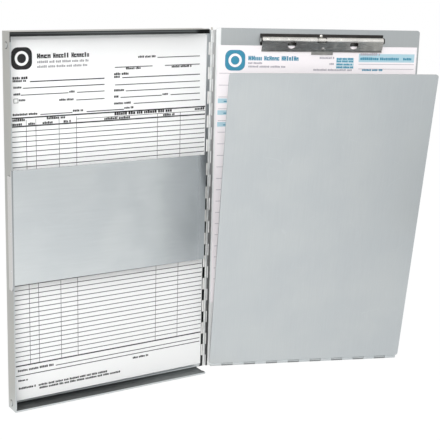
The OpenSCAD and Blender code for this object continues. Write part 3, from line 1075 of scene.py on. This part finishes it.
def plain_seal(name, at, line, side, finish, place, lift, home):
    """A printed tile with rounded corners and a bare ring round its middle."""
    half, corner = side / 2, 0.32 * side
    ring, dot = 0.33 * side, 0.21 * side
    mesh = bmesh.new()
    outer, inner, core = [], [], []
    for i in range(SEAL_STEPS):
        angle = 2 * math.pi * i / SEAL_STEPS
        right, up = math.cos(angle), math.sin(angle)
        low, high = 0.0, 2.0 * half
        for _ in range(SEAL_HALVINGS):
            middle = (low + high) / 2
            over_x = max(0.0, abs(middle * right) - (half - corner))
            over_z = max(0.0, abs(middle * up) - (half - corner))
            inside = math.hypot(over_x, over_z) < corner
            low, high = (middle, high) if inside else (low, middle)
        for row, radius in ((outer, low), (inner, ring), (core, dot)):
            spot = (at + radius * right, -lift / MM, line + radius * up)
            row.append(mesh.verts.new([c * MM for c in spot]))
    for i in range(SEAL_STEPS):
        j = (i + 1) % SEAL_STEPS
        mesh.faces.new((outer[i], outer[j], inner[j], inner[i]))
    mesh.faces.new(core)
    for face in mesh.faces:
        face.normal_update()
        if face.normal.y > 0:
            face.normal_flip()
    made = bpy.data.meshes.new(name)
    mesh.to_mesh(made)
    mesh.free()
    made.transform(place)
    made.materials.append(finish)
    return ridden(link(name, made), *home)


# Weights of the rules, in mm.
HEAVY = 1.3
FIRST_FIELD = 1.1
FIELD = 0.95
FOOT_RULE = 0.85
THIN = 0.84
ROW = 0.74
FINE = 0.52
COLUMN = 0.45

# From one row to the next on the clipped form, in mm: of its rules and of its tinted fields.
RULE_PITCH, TINT_PITCH = 12.4, 15.8


def stored_form_print():
    """The order form's marks by ink, in mm from its lower left corner."""
    rng = random.Random(11)
    black, grey, faint = [], [], []
    for start, end, letters in ((28.4, 42.6, 4), (44.8, 61.4, 6), (63.8, 82.6, 7)):
        black += bold_word(rng, start, end, 340.1, 3.5, letters)
    faint += greeked(rng, 28.4, 82.2, 335.6, 1.9)
    faint += greeked(rng, 28.4, 81, 331.2, 1.9)
    # order and date fields at the top right
    black += greeked(rng, 136, 156.6, 337.4, 1.7, (4, 5))
    grey.append(across(158, 207.8, 337.2, THIN))
    for rule, text in (((110.3, 152.4), (122.4, 140)), ((166.7, 207.8), (174.5, 199.3))):
        grey.append(across(*rule, 328.9, THIN))
        black += greeked(rng, *text, 326.4, 1.7, (5, 8))
    # address fields, two columns
    for start, end in ((3.6, 20), (109.4, 126)):
        black += greeked(rng, start, end, 321.2, 2.0, (4, 4))
    for at, width, line, rules in (
        (3.6, 14.4, 318.7, ((20.9, 98.9, FIRST_FIELD),)),
        (4.2, 9.3, 312.7, ((13.8, 98.9, FIELD),)),
        (4.2, 6.8, 306.3, ((11.4, 60.4, THIN), (69.4, 98.9, THIN))),
        (61.2, 6.9, 306.3, ()),
        (9.6, 6.9, 300.6, ()),
        (50.6, 15.6, 298.9, ((68.6, 98.9, THIN),)),
        (3.0, 25.4, 287.0, ((31.0, 64.4, THIN), (79.5, 120.4, FIELD))),
        (64.9, 11.7, 287.6, ()),
        (120.8, 10.6, 287.4, ()),
        (109.4, 7.6, 318.5, ((118.4, 208.2, FIELD),)),
        (109.4, 0.0, 311.6, ((110.4, 208.2, THIN),)),
        (109.4, 11.9, 305.2, ((122.4, 208.4, THIN),)),
        (109.4, 5.8, 299.0, ((116.6, 163.4, THIN), (173.8, 208.6, THIN))),
        (164.2, 7.3, 299.0, ()),
        (109.4, 20.4, 292.3, ((131.3, 208.7, THIN),)),
    ):
        black += greeked(rng, at, at + width, line, 1.7, (4, 9))
        grey += [across(start, end, line, weight) for start, end, weight in rules]
    # tick box
    grey += [across(4.4, 8.6, z, FINE) for z in (299.2, 303.0)]
    grey += [upright(x, 299.2, 303.0, FINE) for x in (4.4, 8.6)]
    # table head
    head_top, head_low, foot, rows = 284.8, 276.7, 36.4, 49
    black += [across(0.6, 215.4, z, HEAVY) for z in (head_top, head_low, foot)]
    grey.append(across(68.6, 215.4, 280.4, FINE))
    for start, end, line, cap in (
        (2.6, 15.6, 281.6, 2.0),
        (37.4, 57.8, 281.8, 2.0),
        (109.9, 177.4, 281.5, 2.5),
        (202.8, 214.8, 281.5, 2.0),
        (1.4, 13.5, 277.6, 1.9),
        (18.4, 25.2, 277.6, 1.9),
        (33.1, 43.7, 277.6, 1.9),
        (54.9, 63.1, 277.6, 1.9),
        (98.6, 127.5, 277.6, 1.9),
        (165.3, 179.8, 277.6, 1.9),
    ):
        black += greeked(rng, start, end, line, cap, (3, 8))
    # table body
    step = (head_low - foot) / rows
    grey += [across(0.8, 215.2, foot + i * step, ROW) for i in range(1, rows)]
    grey += [upright(x, foot, head_top - 2, COLUMN) for x in (16.4, 26.2, 50.2, 68.6)]
    grey += [upright(x, foot, head_top - 4, COLUMN) for x in (158.8, 185.6)]
    # foot of the form
    grey += greeked(rng, 2.8, 41.5, 30.2, 1.9)
    grey.append(across(43.6, 214, 30.1, THIN))
    black.append(across(0.6, 214.4, 26.0, FOOT_RULE))
    for start, end, line, cap, words in (
        (3.0, 14.2, 19.8, 1.6, (3, 7)),
        (131.9, 152.1, 20.6, 1.8, (4, 5)),
        (3.4, 21.8, 11.4, 1.8, (9, 9)),
        (24.7, 101.9, 11.4, 1.8, (3, 7)),
        (25.6, 118.6, 8.2, 1.8, (3, 7)),
    ):
        black += greeked(rng, start, end, line, cap, words)
    return {"black": black, "grey": grey, "faint": faint}


def clipped_form_print():
    """The clipped set's marks by ink, in mm from its lower left corner."""
    rng = random.Random(23)
    blue, pale, grey = [], [], []
    for start, end, letters in ((32.8, 47.6, 4), (49.8, 66.4, 6), (68.6, 87.2, 7)):
        blue += bold_word(rng, start, end, 264, 3.6, letters)
    grey += greeked(rng, 32.9, 50, 260.2, 1.7)
    grey += greeked(rng, 33, 73, 256.6, 1.7)
    grey += greeked(rng, 110, 126.3, 266.2, 1.8, (8, 9))
    grey += greeked(rng, 121, 126.3, 260, 1.8, (3, 3))
    for line in (265.4, 262.8, 259.6, 256.6):
        pale.append(across(128.4, 147.8, line + 0.9, 2.6))
        blue += greeked(rng, 129, 147.4, line, 1.7, (3, 4))
    grey += greeked(rng, 103.7, 147.5, 253.7, 1.7, (9, 14))
    pale.append(across(153.2, 215.6, 267.6, 8.8))
    blue += greeked(rng, 155, 200, 265.4, 2.3, (8, 11))
    blue += greeked(rng, 203, 213, 265.6, 2.0, (5, 5))
    grey += greeked(rng, 154.8, 177, 270.2, 2.1, (9, 9))
    blue += greeked(rng, 157.5, 181.5, 253.9, 1.7)
    grey += [across(2.2, 215.8, 250.4 - RULE_PITCH * i, FINE) for i in range(19)]
    pale += [across(1.6, 11.4, 221.6 - RULE_PITCH * i, 4.8) for i in range(3)]
    blue += [across(8.0, 11.2, 221.0 - RULE_PITCH * i, 1.0) for i in range(3)]
    grey += [across(153.2, 215.6, line, FINE) for line in (261.0, 256.0)]
    grey += [upright(x, 22, 250.4, FINE) for x in (24, 62, 153.2, 186)]
    pale += [across(153.4, 185.8, 246.5 - TINT_PITCH * i, 7.4) for i in range(14)]
    return {"blue": blue, "pale": pale, "grey": grey}


def print_on(name, marks, finish, place, lift, home):
    """One ink's marks, lifted off the sheet's face at the origin of its place."""
    points = [(x * MM, -lift, z * MM) for x, z, _, _ in marks]
    spans = [(w * MM, 1.0, h * MM) for _, _, w, h in marks]
    piece = grown(name, points, marks_tree(), {"Finish": finish}, place, spans)
    return ridden(piece, *home)


# ---------------------------------------------------------------- operators

# Painted shade beside the side hinge: where it is full and where it ends, from the hinge's axis. Then
# the heights between which it thins out, and how much of it is left at the top.
TRAY_HINGE_SHADE = (4.6 * MM, 7.0 * MM, 195 * MM, 245 * MM, 0.1)
BOARD_HINGE_SHADE = (4.5 * MM, 5.1 * MM, 50 * MM, 360 * MM, 0.5)
# Where the strip of painted light beside the side hinge ends, from the hinge's axis.
BOARD_LIT_STRIP = 9.0 * MM

# The tray's faces that take painted shade. Its lip: how far it hangs from the top, and how far its
# faces lie
# behind the front. Its foot: the heights of its inside, and the height and depth of its edge.
# Faces closer to the left end than the wall's thickness are left bright.
LIP_HANG, LIP_BEHIND = 4.6 * MM, 2 * MM
FOOT_INSIDE = (0.3 * MM, 3.2 * MM)
EDGE_HEIGHT, EDGE_DEPTH = 2 * MM, 0.5 * MM
WALL_FACE = 1.2 * MM

# From the strap's free end: where it gets duller and painted darker as painted shade, and where it is
# fully so.
STRAP_DULL_SHADE = (-13 * MM, -4 * MM)

# Rounding of the small pieces and of the jaw, and how far the knuckles reach from the axis.
FINE_ROUND, JAW_ROUND = 0.1 * MM, 0.14 * MM
KNUCKLE_REACH = 2.1 * MM

# Radius and height of the rivets' heads, how deep a head sits in its rivet's end, and how far
# inside the tray's wall the corner rivets' tails start.
CORNER_HEAD = (2.9 * MM, 1.0 * MM)
# Radius and height of the dark ring of painted shade under each corner rivet's head.
CORNER_SHADE_RING = (3.5 * MM, 0.2 * MM)
CORNER_TAIL = (2.4 * MM, 0.6 * MM)
STRAP_HEAD = (2.2 * MM, 0.25 * MM)
REAR_HEAD = (2.4 * MM, 0.25 * MM)
LOW_HEAD = (2.2 * MM, 0.12 * MM)
FLUSH_HEAD = (1.6 * MM, 0.06 * MM)
SET_IN, TAIL_IN = 0.25 * MM, 2 * MM


def tray_satin():
    """The sheet of the tray and of the side hinge's leaf on it."""
    return satin_sheet("satin_tray", TRAY, grime=TRAY_HINGE_SHADE)


def board_satin():
    """The sheet of the clipboard plate and of the hinge leaves on it, its tone lowered as painted
    shade.
    """
    return satin_sheet("satin_board", BOARD, tone=0.79, grime=BOARD_HINGE_SHADE, rubbed=BOARD_LIT_STRIP)


def cover_satin():
    """The sheet of the writing cover and of its hinge leaf, its tone a little raised as painted light.
    """
    return satin_sheet("satin_cover", COVER, tone=1.03)


class DressTray(bpy.types.Operator):
    """Dress the storage tray, its strap and their rivets"""

    bl_idname = "clipboard_box.tray"
    bl_label = "Storage Tray"

    def execute(self, context):
        low, high = reach("tray_pan", TRAY)
        inverse = TRAY.inverted()

        # Picks the faces that take the rim's painted shade.
        def darkened(face):
            at = inverse @ face.calc_center_median()
            if at.x < low.x + WALL_FACE:
                return 0
            on_lip = at.z > high.z - LIP_HANG and at.y < low.y + LIP_BEHIND and face.normal.z < 0.5
            in_foot = FOOT_INSIDE[0] < at.z < FOOT_INSIDE[1] and face.normal.z > 0.55
            on_edge = at.z < EDGE_HEIGHT and at.y < low.y + EDGE_DEPTH
            return 1 if on_lip or in_foot or on_edge else 0

        satin, rim = tray_satin(), shaded_rim_sheet()
        dressed("tray_pan", "tray", "tray", "satin_aluminium", [satin, rim], darkened)
        bend, free_end = (end.x for end in reach("retaining_band", TRAY))
        dull = [free_end + end for end in STRAP_DULL_SHADE]
        # The strap's tone is raised as painted light, beside its lower roughness.
        strap = satin_sheet("satin_strap", TRAY @ GRAIN_ACROSS, 0.13, 1.1, seam=bend, dull=dull)
        dressed("retaining_band", "strap", "tray", "satin_aluminium", [strap])
        outside = side_spots("tray_corner_rivets", low.x)
        inside = side_spots("tray_corner_rivets", low.x + TAIL_IN)
        on_strap = side_spots("band_rivets", bend)
        for name, spots, head, facing, finish, nodes, seed in (
            ("corner_rivets", outside, CORNER_HEAD, LEFT, satin, ["tray_corner_rivets"], 1),
            ("corner_rivet_seats", outside, CORNER_SHADE_RING, LEFT, rim, [], 1),
            ("corner_rivet_tails", inside, CORNER_TAIL, RIGHT, satin, [], 1),
            ("strap_rivets", on_strap, STRAP_HEAD, LEFT, strap, ["band_rivets"], 4),
        ):
            rivet_row(name, "tray", spots, head, facing, TRAY, finish, seed, nodes)
        return {"FINISHED"}


def on_barrel(place):
    """Chooses the second finish, the knuckles' painted highlight, for the faces that are rolled round
    the hinge's axis.
    """
    inverse = place.inverted()

    def choose(face):
        middle = inverse @ face.calc_center_median()
        return 1 if math.hypot(middle.x, middle.y) < KNUCKLE_REACH else 0

    return choose


def shaded_underside(face):
    """Chooses the second finish, the rim's painted shade, for what faces down at the foot."""
    return 1 if face.normal.z < -0.1 else 0


class DressHinges(bpy.types.Operator):
    """Dress the knuckled leaves of both piano hinges, their pins and rivets"""

    bl_idname = "clipboard_box.hinges"
    bl_label = "Piano Hinges"

    def execute(self, context):
        tray, board, cover, bright = tray_satin(), board_satin(), cover_satin(), knuckle_highlight_sheet()
        for node, name, body, finishes, choose in (
            ("tray_side_leaf", "tray_hinge_leaf", "tray", [tray, bright], on_barrel(TRAY)),
            ("plate_side_leaf", "board_hinge_leaf", "clipboard", [board, bright], on_barrel(BOARD)),
            ("plate_foot_leaf", "board_foot_leaf", "clipboard", [board, shaded_rim_sheet()], shaded_underside),
            ("cover_foot_leaf", "cover_foot_leaf_piece", "cover", [cover], None),
        ):
            dressed(node, name, body, "satin_aluminium", finishes, choose, FINE_ROUND)
        pin = nickel_plate("bright_nickel")
        for node in ("side_hinge_pin", "foot_hinge_pin"):
            repaint(node, pin)
        for node, name, body, place in (
            ("tray_leaf_rivets", "tray_leaf_rivet_row", "tray", TRAY),
            ("plate_side_rivets", "board_leaf_rivet_row", "clipboard", BOARD),
        ):
            front, rear = end_spots(node, place, 0.0, SET_IN)
            rivet_row(name, body, rear, REAR_HEAD, REAR, place, pin, 7, [node])
            rivet_row(name + "_front", body, front, FLUSH_HEAD, FRONT, place, tray, 8)
        for node, name, body, place, sheet in (
            ("plate_foot_rivets", "board_foot_rivet_row", "clipboard", BOARD, board),
            ("cover_foot_rivets", "cover_foot_rivet_row", "cover", COVER, cover),
        ):
            front, rear = end_spots(node, place, SET_IN, SET_IN)
            rivet_row(name, body, front, LOW_HEAD, FRONT, place, sheet, 9, [node])
            rivet_row(name + "_rear", body, rear, REAR_HEAD, REAR, place, pin, 10)
        return {"FINISHED"}


class DressBoard(bpy.types.Operator):
    """Dress the clipboard plate"""

    bl_idname = "clipboard_box.board"
    bl_label = "Clipboard Plate"

    def execute(self, context):
        dressed("clipboard_plate", "board", "clipboard", "satin_aluminium", [board_satin()])
        return {"FINISHED"}


class DressCover(bpy.types.Operator):
    """Dress the writing cover"""

    bl_idname = "clipboard_box.cover"
    bl_label = "Writing Cover"

    def execute(self, context):
        dressed("writing_cover", "cover", "cover", "satin_aluminium", [cover_satin()])
        return {"FINISHED"}


# Height of the jaw's tongue, which takes painted shade, and the radius of the spring's wire.
TONGUE = 5.4 * MM
WIRE = 0.4 * MM

# Turns the spring's tree so that its coil, along Z, lies along X and its leg, along Y, is upright.
ALONG_ROD = Matrix(((0, 0, 1, 0), (1, 0, 0, 0), (0, 1, 0, 0), (0, 0, 0, 1)))


class DressClip(bpy.types.Operator):
    """Dress the clip: base, jaw, rod, spring and rivets"""

    bl_idname = "clipboard_box.clip"
    bl_label = "Clip"

    def execute(self, context):
        bright = nickel_plate("bright_nickel")
        dressed("clip_base", "clip_foot", "clipboard", "dark_steel", [black_oxide_and_shade()], None, FINE_ROUND)
        tongue_top = reach("clip_jaw", BOARD)[0].z + TONGUE
        inverse = BOARD.inverted()

        # The tongue's upright faces take a darker nickel: painted shade where it would mirror the
        # paper.
        def painted_shading(face):
            middle = inverse @ face.calc_center_median()
            stands = abs((inverse.to_3x3() @ face.normal).y) > 0.97
            return 1 if middle.z < tongue_top and stands else 0

        finishes = [bright, nickel_plate("worn_nickel", 0.3, 0.42)]
        dressed("clip_jaw", "clip_grip", "jaw", "bright_steel", finishes, painted_shading, JAW_ROUND)
        for node in ("clip_rod", "clip_stud", "jaw_rivet"):
            repaint(node, bright)
        # The base's rivets are painted dark, as painted shade inside the jaw's holes.
        repaint("clip_base_rivets", nickel_plate("dark_rivet", 0.3, 0.16))
        low, high = reach("clip_spring", BOARD)
        values = {
            "Coil Radius": high.z - CLIP_AXIS.z - WIRE,
            "Wire Radius": WIRE,
            "Turns": float(sizes().spring_turns),
            "Length": high.x - low.x - 2 * WIRE,
            "Leg": low.z + WIRE - CLIP_AXIS.z,
            "Finish": bright,
        }
        start = Matrix.Translation((low.x + WIRE, CLIP_AXIS.y, CLIP_AXIS.z))
        spring = grown("spring", [(0, 0, 0)], spring_tree(), values, BOARD @ start @ ALONG_ROD)
        ridden(spring, "clipboard", "bright_steel", ["clip_spring"])
        return {"FINISHED"}


# The rearmost stored sheets, which stand a little higher than the rest: their margin at each
# side, how far they rise and how thick they are together.
RAISED_MARGIN, RAISED_BY, RAISED_THICK = 1.0 * MM, 3.2 * MM, 0.5 * MM

# Middle across and up, and side, of the two seals, in mm, and the stored forms' tilt.
STORED_SEAL, CLIPPED_SEAL = (13, 340.6, 20.8), (18.8, 263.9, 21.4)
FORMS_TILT = math.radians(0.3)


class PrintStoredForms(bpy.types.Operator):
    """Stack and print the forms stored in the tray"""

    bl_idname = "clipboard_box.stored_forms"
    bl_label = "Stored Forms"

    def execute(self, context):
        corner, width, length, depth = sheet_block("storage_forms", TRAY, FORMS_TILT)
        white = paper("stored_form_paper", colours().white_paper, TRAY)
        home = ("tray", "white_paper")
        make_stack("stored_stack", corner, width, length, depth, white, 5, home, ["storage_forms"])
        raised = corner @ Matrix.Translation((RAISED_MARGIN, depth - RAISED_THICK, RAISED_BY))
        narrower = width - 2 * RAISED_MARGIN
        make_stack("raised_sheets", raised, narrower, length, RAISED_THICK, white, 6, home)
        inks = {
            "black": ink("black_ink", colours().black_ink, TRAY),
            "grey": ink("grey_ink", colours().grey_ink, TRAY),
            "faint": ink("faint_ink", colours().faint_ink, TRAY),
        }
        lift = sizes().ink_height
        plain_seal("stored_seal", *STORED_SEAL, inks["black"], corner, lift, home)
        for tone, marks in stored_form_print().items():
            print_on("stored_print_" + tone, marks, inks[tone], corner, lift, home)
        return {"FINISHED"}


class PrintClippedForms(bpy.types.Operator):
    """Stack and print the form set under the clip"""

    bl_idname = "clipboard_box.clipped_forms"
    bl_label = "Clipped Forms"

    def execute(self, context):
        corner, width, length, depth = sheet_block("clipped_forms", BOARD, 0.0)
        pink = paper("clipped_form_paper", colours().pink_paper, BOARD)
        home = ("clipboard", "tinted_paper")
        make_stack("clipped_stack", corner, width, length, depth, pink, 9, home, ["clipped_forms"])
        inks = {
            "blue": (ink("blue_ink", colours().blue_ink, BOARD), 1.6),
            "pale": (ink("pale_ink", colours().pale_ink, BOARD), 1.0),
            "grey": (ink("violet_grey_ink", colours().violet_ink, BOARD), 1.3),
        }
        lift = sizes().ink_height
        plain_seal("clipped_seal", *CLIPPED_SEAL, inks["blue"][0], corner, lift, home)
        for tone, marks in clipped_form_print().items():
            finish, layers = inks[tone]
            print_on("clipped_print_" + tone, marks, finish, corner, layers * lift, home)
        return {"FINISHED"}


def sheet_block(node, leaf, tilt):
    """Frame at a tilted block's front lower left corner, and its width, length and depth."""
    turned = leaf @ Matrix.Rotation(-tilt, 4, "Y")
    low, high = reach(node, turned)
    return turned @ Matrix.Translation(low), high.x - low.x, high.z - low.z, high.y - low.y


def make_stack(name, corner, width, length, depth, finish, seed, home, nodes=()):
    """A stack of loose sheets; home is its body and slot."""
    jitter = sizes().stack_jitter
    count = max(2, round(depth / sizes().sheet_pitch))
    pitch = depth / count
    values = {
        "Width": width - 2 * jitter,
        "Length": length - 2 * jitter,
        "Pitch": pitch,
        "Count": count,
        "Jitter": jitter,
        "Seed": seed,
        "Finish": finish,
    }
    place = corner @ Matrix.Translation((width / 2, pitch / 2, length / 2))
    return ridden(grown(name, [(0, 0, 0)], stack_tree(), values, place), *home, nodes)


# ---------------------------------------------------------------- stage

FLOOR_SIDE, FLOOR_DROP = 6.0, 0.2 * MM
AIM = (0.05, 0.0, 0.18)
LARGE_LAMP, SMALL_LAMP = 2.6, 0.5
KEY_PLACE, FILL_PLACE = (-1.6, -2.2, 2.0), (1.9, -1.8, 1.6)
FILL_SHARE = 0.3
BESIDE_CAMERA = Vector((-0.08, 0.05, 0.05))

WHITE = (1.0, 1.0, 1.0, 1.0)
DARK_SIDE = (0.0, 0.025, 0.045, 1.0)
BEHIND_COLOUR = (0.73, 0.69, 0.64, 1.0)

# What metal mirrors. Y where the dark side ahead starts and is full, and where the wall
# behind does so. Then how far past a slanting line the dark side starts and is full, the
# line's own offset, and its slant on the floor.
AHEAD = (-0.26, -0.38)
BEHIND = (-0.03, 0.05)
EDGE = (0.478, 0.54)
EDGE_OFFSET = 0.78
FLOOR_SLANT = 0.59

# How far to the side the studio has dimmed, on the floor and in the sky, the sky's level, the
# floor's glow, and the share of it in what is seen.
FLOOR_FAR, SKY_FAR = 0.38, 0.42
SKY_LEVEL = 0.93
GLOW, GLOW_SHARE = 1.16, 0.8


class BuildStage(bpy.types.Operator):
    """Set the floor, the soft light and the camera"""

    bl_idname = "clipboard_box.stage"
    bl_label = "Stage"

    def execute(self, context):
        stage = context.scene.clipboard_stage
        floor = link("floor", flat_square("floor", FLOOR_SIDE, -FLOOR_DROP))
        floor.data.materials.append(floor_finish())
        soft_world(context.scene, stage.sky)
        key = soft_lamp("key_lamp", stage.key_power, LARGE_LAMP, KEY_PLACE)
        fill = soft_lamp("fill_lamp", FILL_SHARE * stage.key_power, LARGE_LAMP, FILL_PLACE)
        eye_side = Vector(stage.camera_place) + BESIDE_CAMERA
        front = soft_lamp("front_lamp", stage.front_power, SMALL_LAMP, eye_side)
        front.visible_glossy = False
        eye = bpy.data.cameras.new("camera")
        eye.lens = stage.lens
        eye.sensor_width = 36
        camera = link("camera", eye)
        camera.matrix_world = (
            Matrix.Translation(stage.camera_place)
            @ Matrix.Rotation(stage.camera_yaw, 4, "Z")
            @ Matrix.Rotation(stage.camera_pitch, 4, "X")
            @ Matrix.Rotation(stage.camera_roll, 4, "Y")
            @ Matrix.Rotation(math.pi / 2, 4, "X")
        )
        context.scene.camera = camera
        context.scene.view_settings.view_transform = "Standard"
        return {"FINISHED"}


def flat_square(name, side, height):
    """A square face round the origin."""
    mesh = bpy.data.meshes.new(name)
    signs = ((-1, -1), (1, -1), (1, 1), (-1, 1))
    mesh.from_pydata([(x * side / 2, y * side / 2, height) for x, y in signs], [], [(0, 1, 2, 3)])
    return mesh


@made_once("node_groups", "studio falloff")
def falloff_group():
    """How bright the studio is to the side of a line: white in front, dimmer to the right."""
    group, given, leave = new_group(
        "studio falloff",
        "ShaderNodeTree",
        [("Side", FLOAT, 0.0), ("Far Side", FLOAT, 0.45), ("Edge", FLOAT, 0.0)],
        [("Level", FLOAT)],
    )
    near_side = calc(group, "MULTIPLY", given["Far Side"], -0.25)
    slow = spread(group, given["Side"], near_side, given["Far Side"], 1.0, 0.76, "LINEAR")
    edge = spread(group, given["Edge"], *EDGE, 1.0, 0.42)
    feed(group, leave, {"Level": calc(group, "MULTIPLY", slow, edge)})
    return group


def seen(tree):
    """1 for rays that see and 0 for those that only light, and 1 for glossy rays."""
    path = tree.nodes.new("ShaderNodeLightPath")
    first = calc(tree, "ADD", path.outputs["Is Camera Ray"], path.outputs["Is Glossy Ray"])
    both = calc(tree, "ADD", first, path.outputs["Is Transmission Ray"])
    return calc(tree, "MINIMUM", both, 1.0), path.outputs["Is Glossy Ray"]


def level_for(tree, place, glossy, far, level, slant):
    """The colour that a ray sees: white for the camera, the studio's falloff in metal."""
    at = split(tree, place)
    ahead = spread(tree, at["Y"], *AHEAD)
    edge = calc(tree, "MULTIPLY_ADD", at["Y"], slant, at["X"])
    edge = calc(tree, "MULTIPLY", calc(tree, "ADD", edge, EDGE_OFFSET * slant), ahead)
    values = {"Side": at["X"], "Far Side": far, "Edge": edge}
    falloff = add(tree, "ShaderNodeGroup", values, node_tree=falloff_group()).outputs["Level"]
    front = mixed(tree, falloff, DARK_SIDE, (level, level, level, 1.0))
    around = mixed(tree, spread(tree, at["Y"], *BEHIND), front, BEHIND_COLOUR)
    return mixed(tree, glossy, WHITE, around)


def floor_finish():
    """Pale floor that reads as white and keeps a soft shadow."""
    material = bpy.data.materials.new("pale_floor")
    material.use_nodes = True
    tree = material.node_tree
    shader = tree.nodes["Principled BSDF"]
    matt = {"Base Color": (0.5, 0.5, 0.5, 1.0), "Roughness": 1.0, "Specular IOR Level": 0.0}
    feed(tree, shader, matt)
    rays, glossy = seen(tree)
    coordinates = tree.nodes.new("ShaderNodeTexCoord")
    colour = level_for(tree, coordinates.outputs["Object"], glossy, FLOOR_FAR, 1.0, FLOOR_SLANT)
    glow = add(tree, "ShaderNodeEmission", {"Color": colour, "Strength": GLOW})
    share = calc(tree, "MULTIPLY", rays, GLOW_SHARE)
    sources = {0: share, 1: shader.outputs[0], 2: glow.outputs[0]}
    mix = add(tree, "ShaderNodeMixShader", sources)
    feed(tree, tree.nodes["Material Output"], {"Surface": mix.outputs[0]})
    return material


def soft_world(scene, strength):
    """White all round for what is seen, softer for what lights the object."""
    world = bpy.data.worlds.new("studio")
    scene.world = world
    world.use_nodes = True
    tree = world.node_tree
    rays, glossy = seen(tree)
    coordinates = tree.nodes.new("ShaderNodeTexCoord")
    colour = level_for(tree, coordinates.outputs["Generated"], glossy, SKY_FAR, SKY_LEVEL, 0.0)
    power = spread(tree, rays, 0.0, 1.0, strength, 1.0, "LINEAR")
    feed(tree, tree.nodes["Background"], {"Color": colour, "Strength": power})


def soft_lamp(name, power, side, place):
    """A square lamp that faces the middle of the object."""
    light = bpy.data.lights.new(name, "AREA")
    light.energy = power
    light.shape = "SQUARE"
    light.size = side
    lamp = link(name, light)
    lamp.location = place
    lamp.rotation_euler = (Vector(AIM) - Vector(place)).to_track_quat("-Z", "Y").to_euler()
    return lamp


class ClipboardPanel(bpy.types.Panel):
    """The clipboard box's pieces and sizes in the sidebar"""

    bl_idname = "VIEW3D_PT_clipboard_box"
    bl_label = "Clipboard Box"
    bl_space_type = "VIEW_3D"
    bl_region_type = "UI"
    bl_category = "Clipboard Box"

    def draw(self, context):
        for operator in OPERATORS:
            self.layout.operator(operator.bl_idname)
        for group in ("clipboard_sizes", "clipboard_colours", "clipboard_stage"):
            values = getattr(context.scene, group)
            column = self.layout.column()
            for field in values.__annotations__:
                column.prop(values, field)


GROUPS = (ClipboardSizes, ClipboardColours, ClipboardStage)
OPERATORS = (
    DressTray,
    DressHinges,
    DressBoard,
    DressCover,
    DressClip,
    PrintStoredForms,
    PrintClippedForms,
    BuildStage,
)


def register():
    """Adds the classes to Blender, and their values to the scene."""
    for kind in (*GROUPS, *OPERATORS, ClipboardPanel):
        bpy.utils.register_class(kind)
    bpy.types.Scene.clipboard_sizes = PointerProperty(type=ClipboardSizes)
    bpy.types.Scene.clipboard_colours = PointerProperty(type=ClipboardColours)
    bpy.types.Scene.clipboard_stage = PointerProperty(type=ClipboardStage)


def unregister():
    """Takes away all that register adds."""
    del bpy.types.Scene.clipboard_stage
    del bpy.types.Scene.clipboard_colours
    del bpy.types.Scene.clipboard_sizes
    for kind in reversed((*GROUPS, *OPERATORS, ClipboardPanel)):
        bpy.utils.unregister_class(kind)


def main():
    """Dresses the clipboard box and sets the stage."""
    register()
    bpy.ops.clipboard_box.tray()
    bpy.ops.clipboard_box.hinges()
    bpy.ops.clipboard_box.board()
    bpy.ops.clipboard_box.cover()
    bpy.ops.clipboard_box.clip()
    bpy.ops.clipboard_box.stored_forms()
    bpy.ops.clipboard_box.clipped_forms()
    bpy.ops.clipboard_box.stage()


if __name__ == "__main__":
    main()
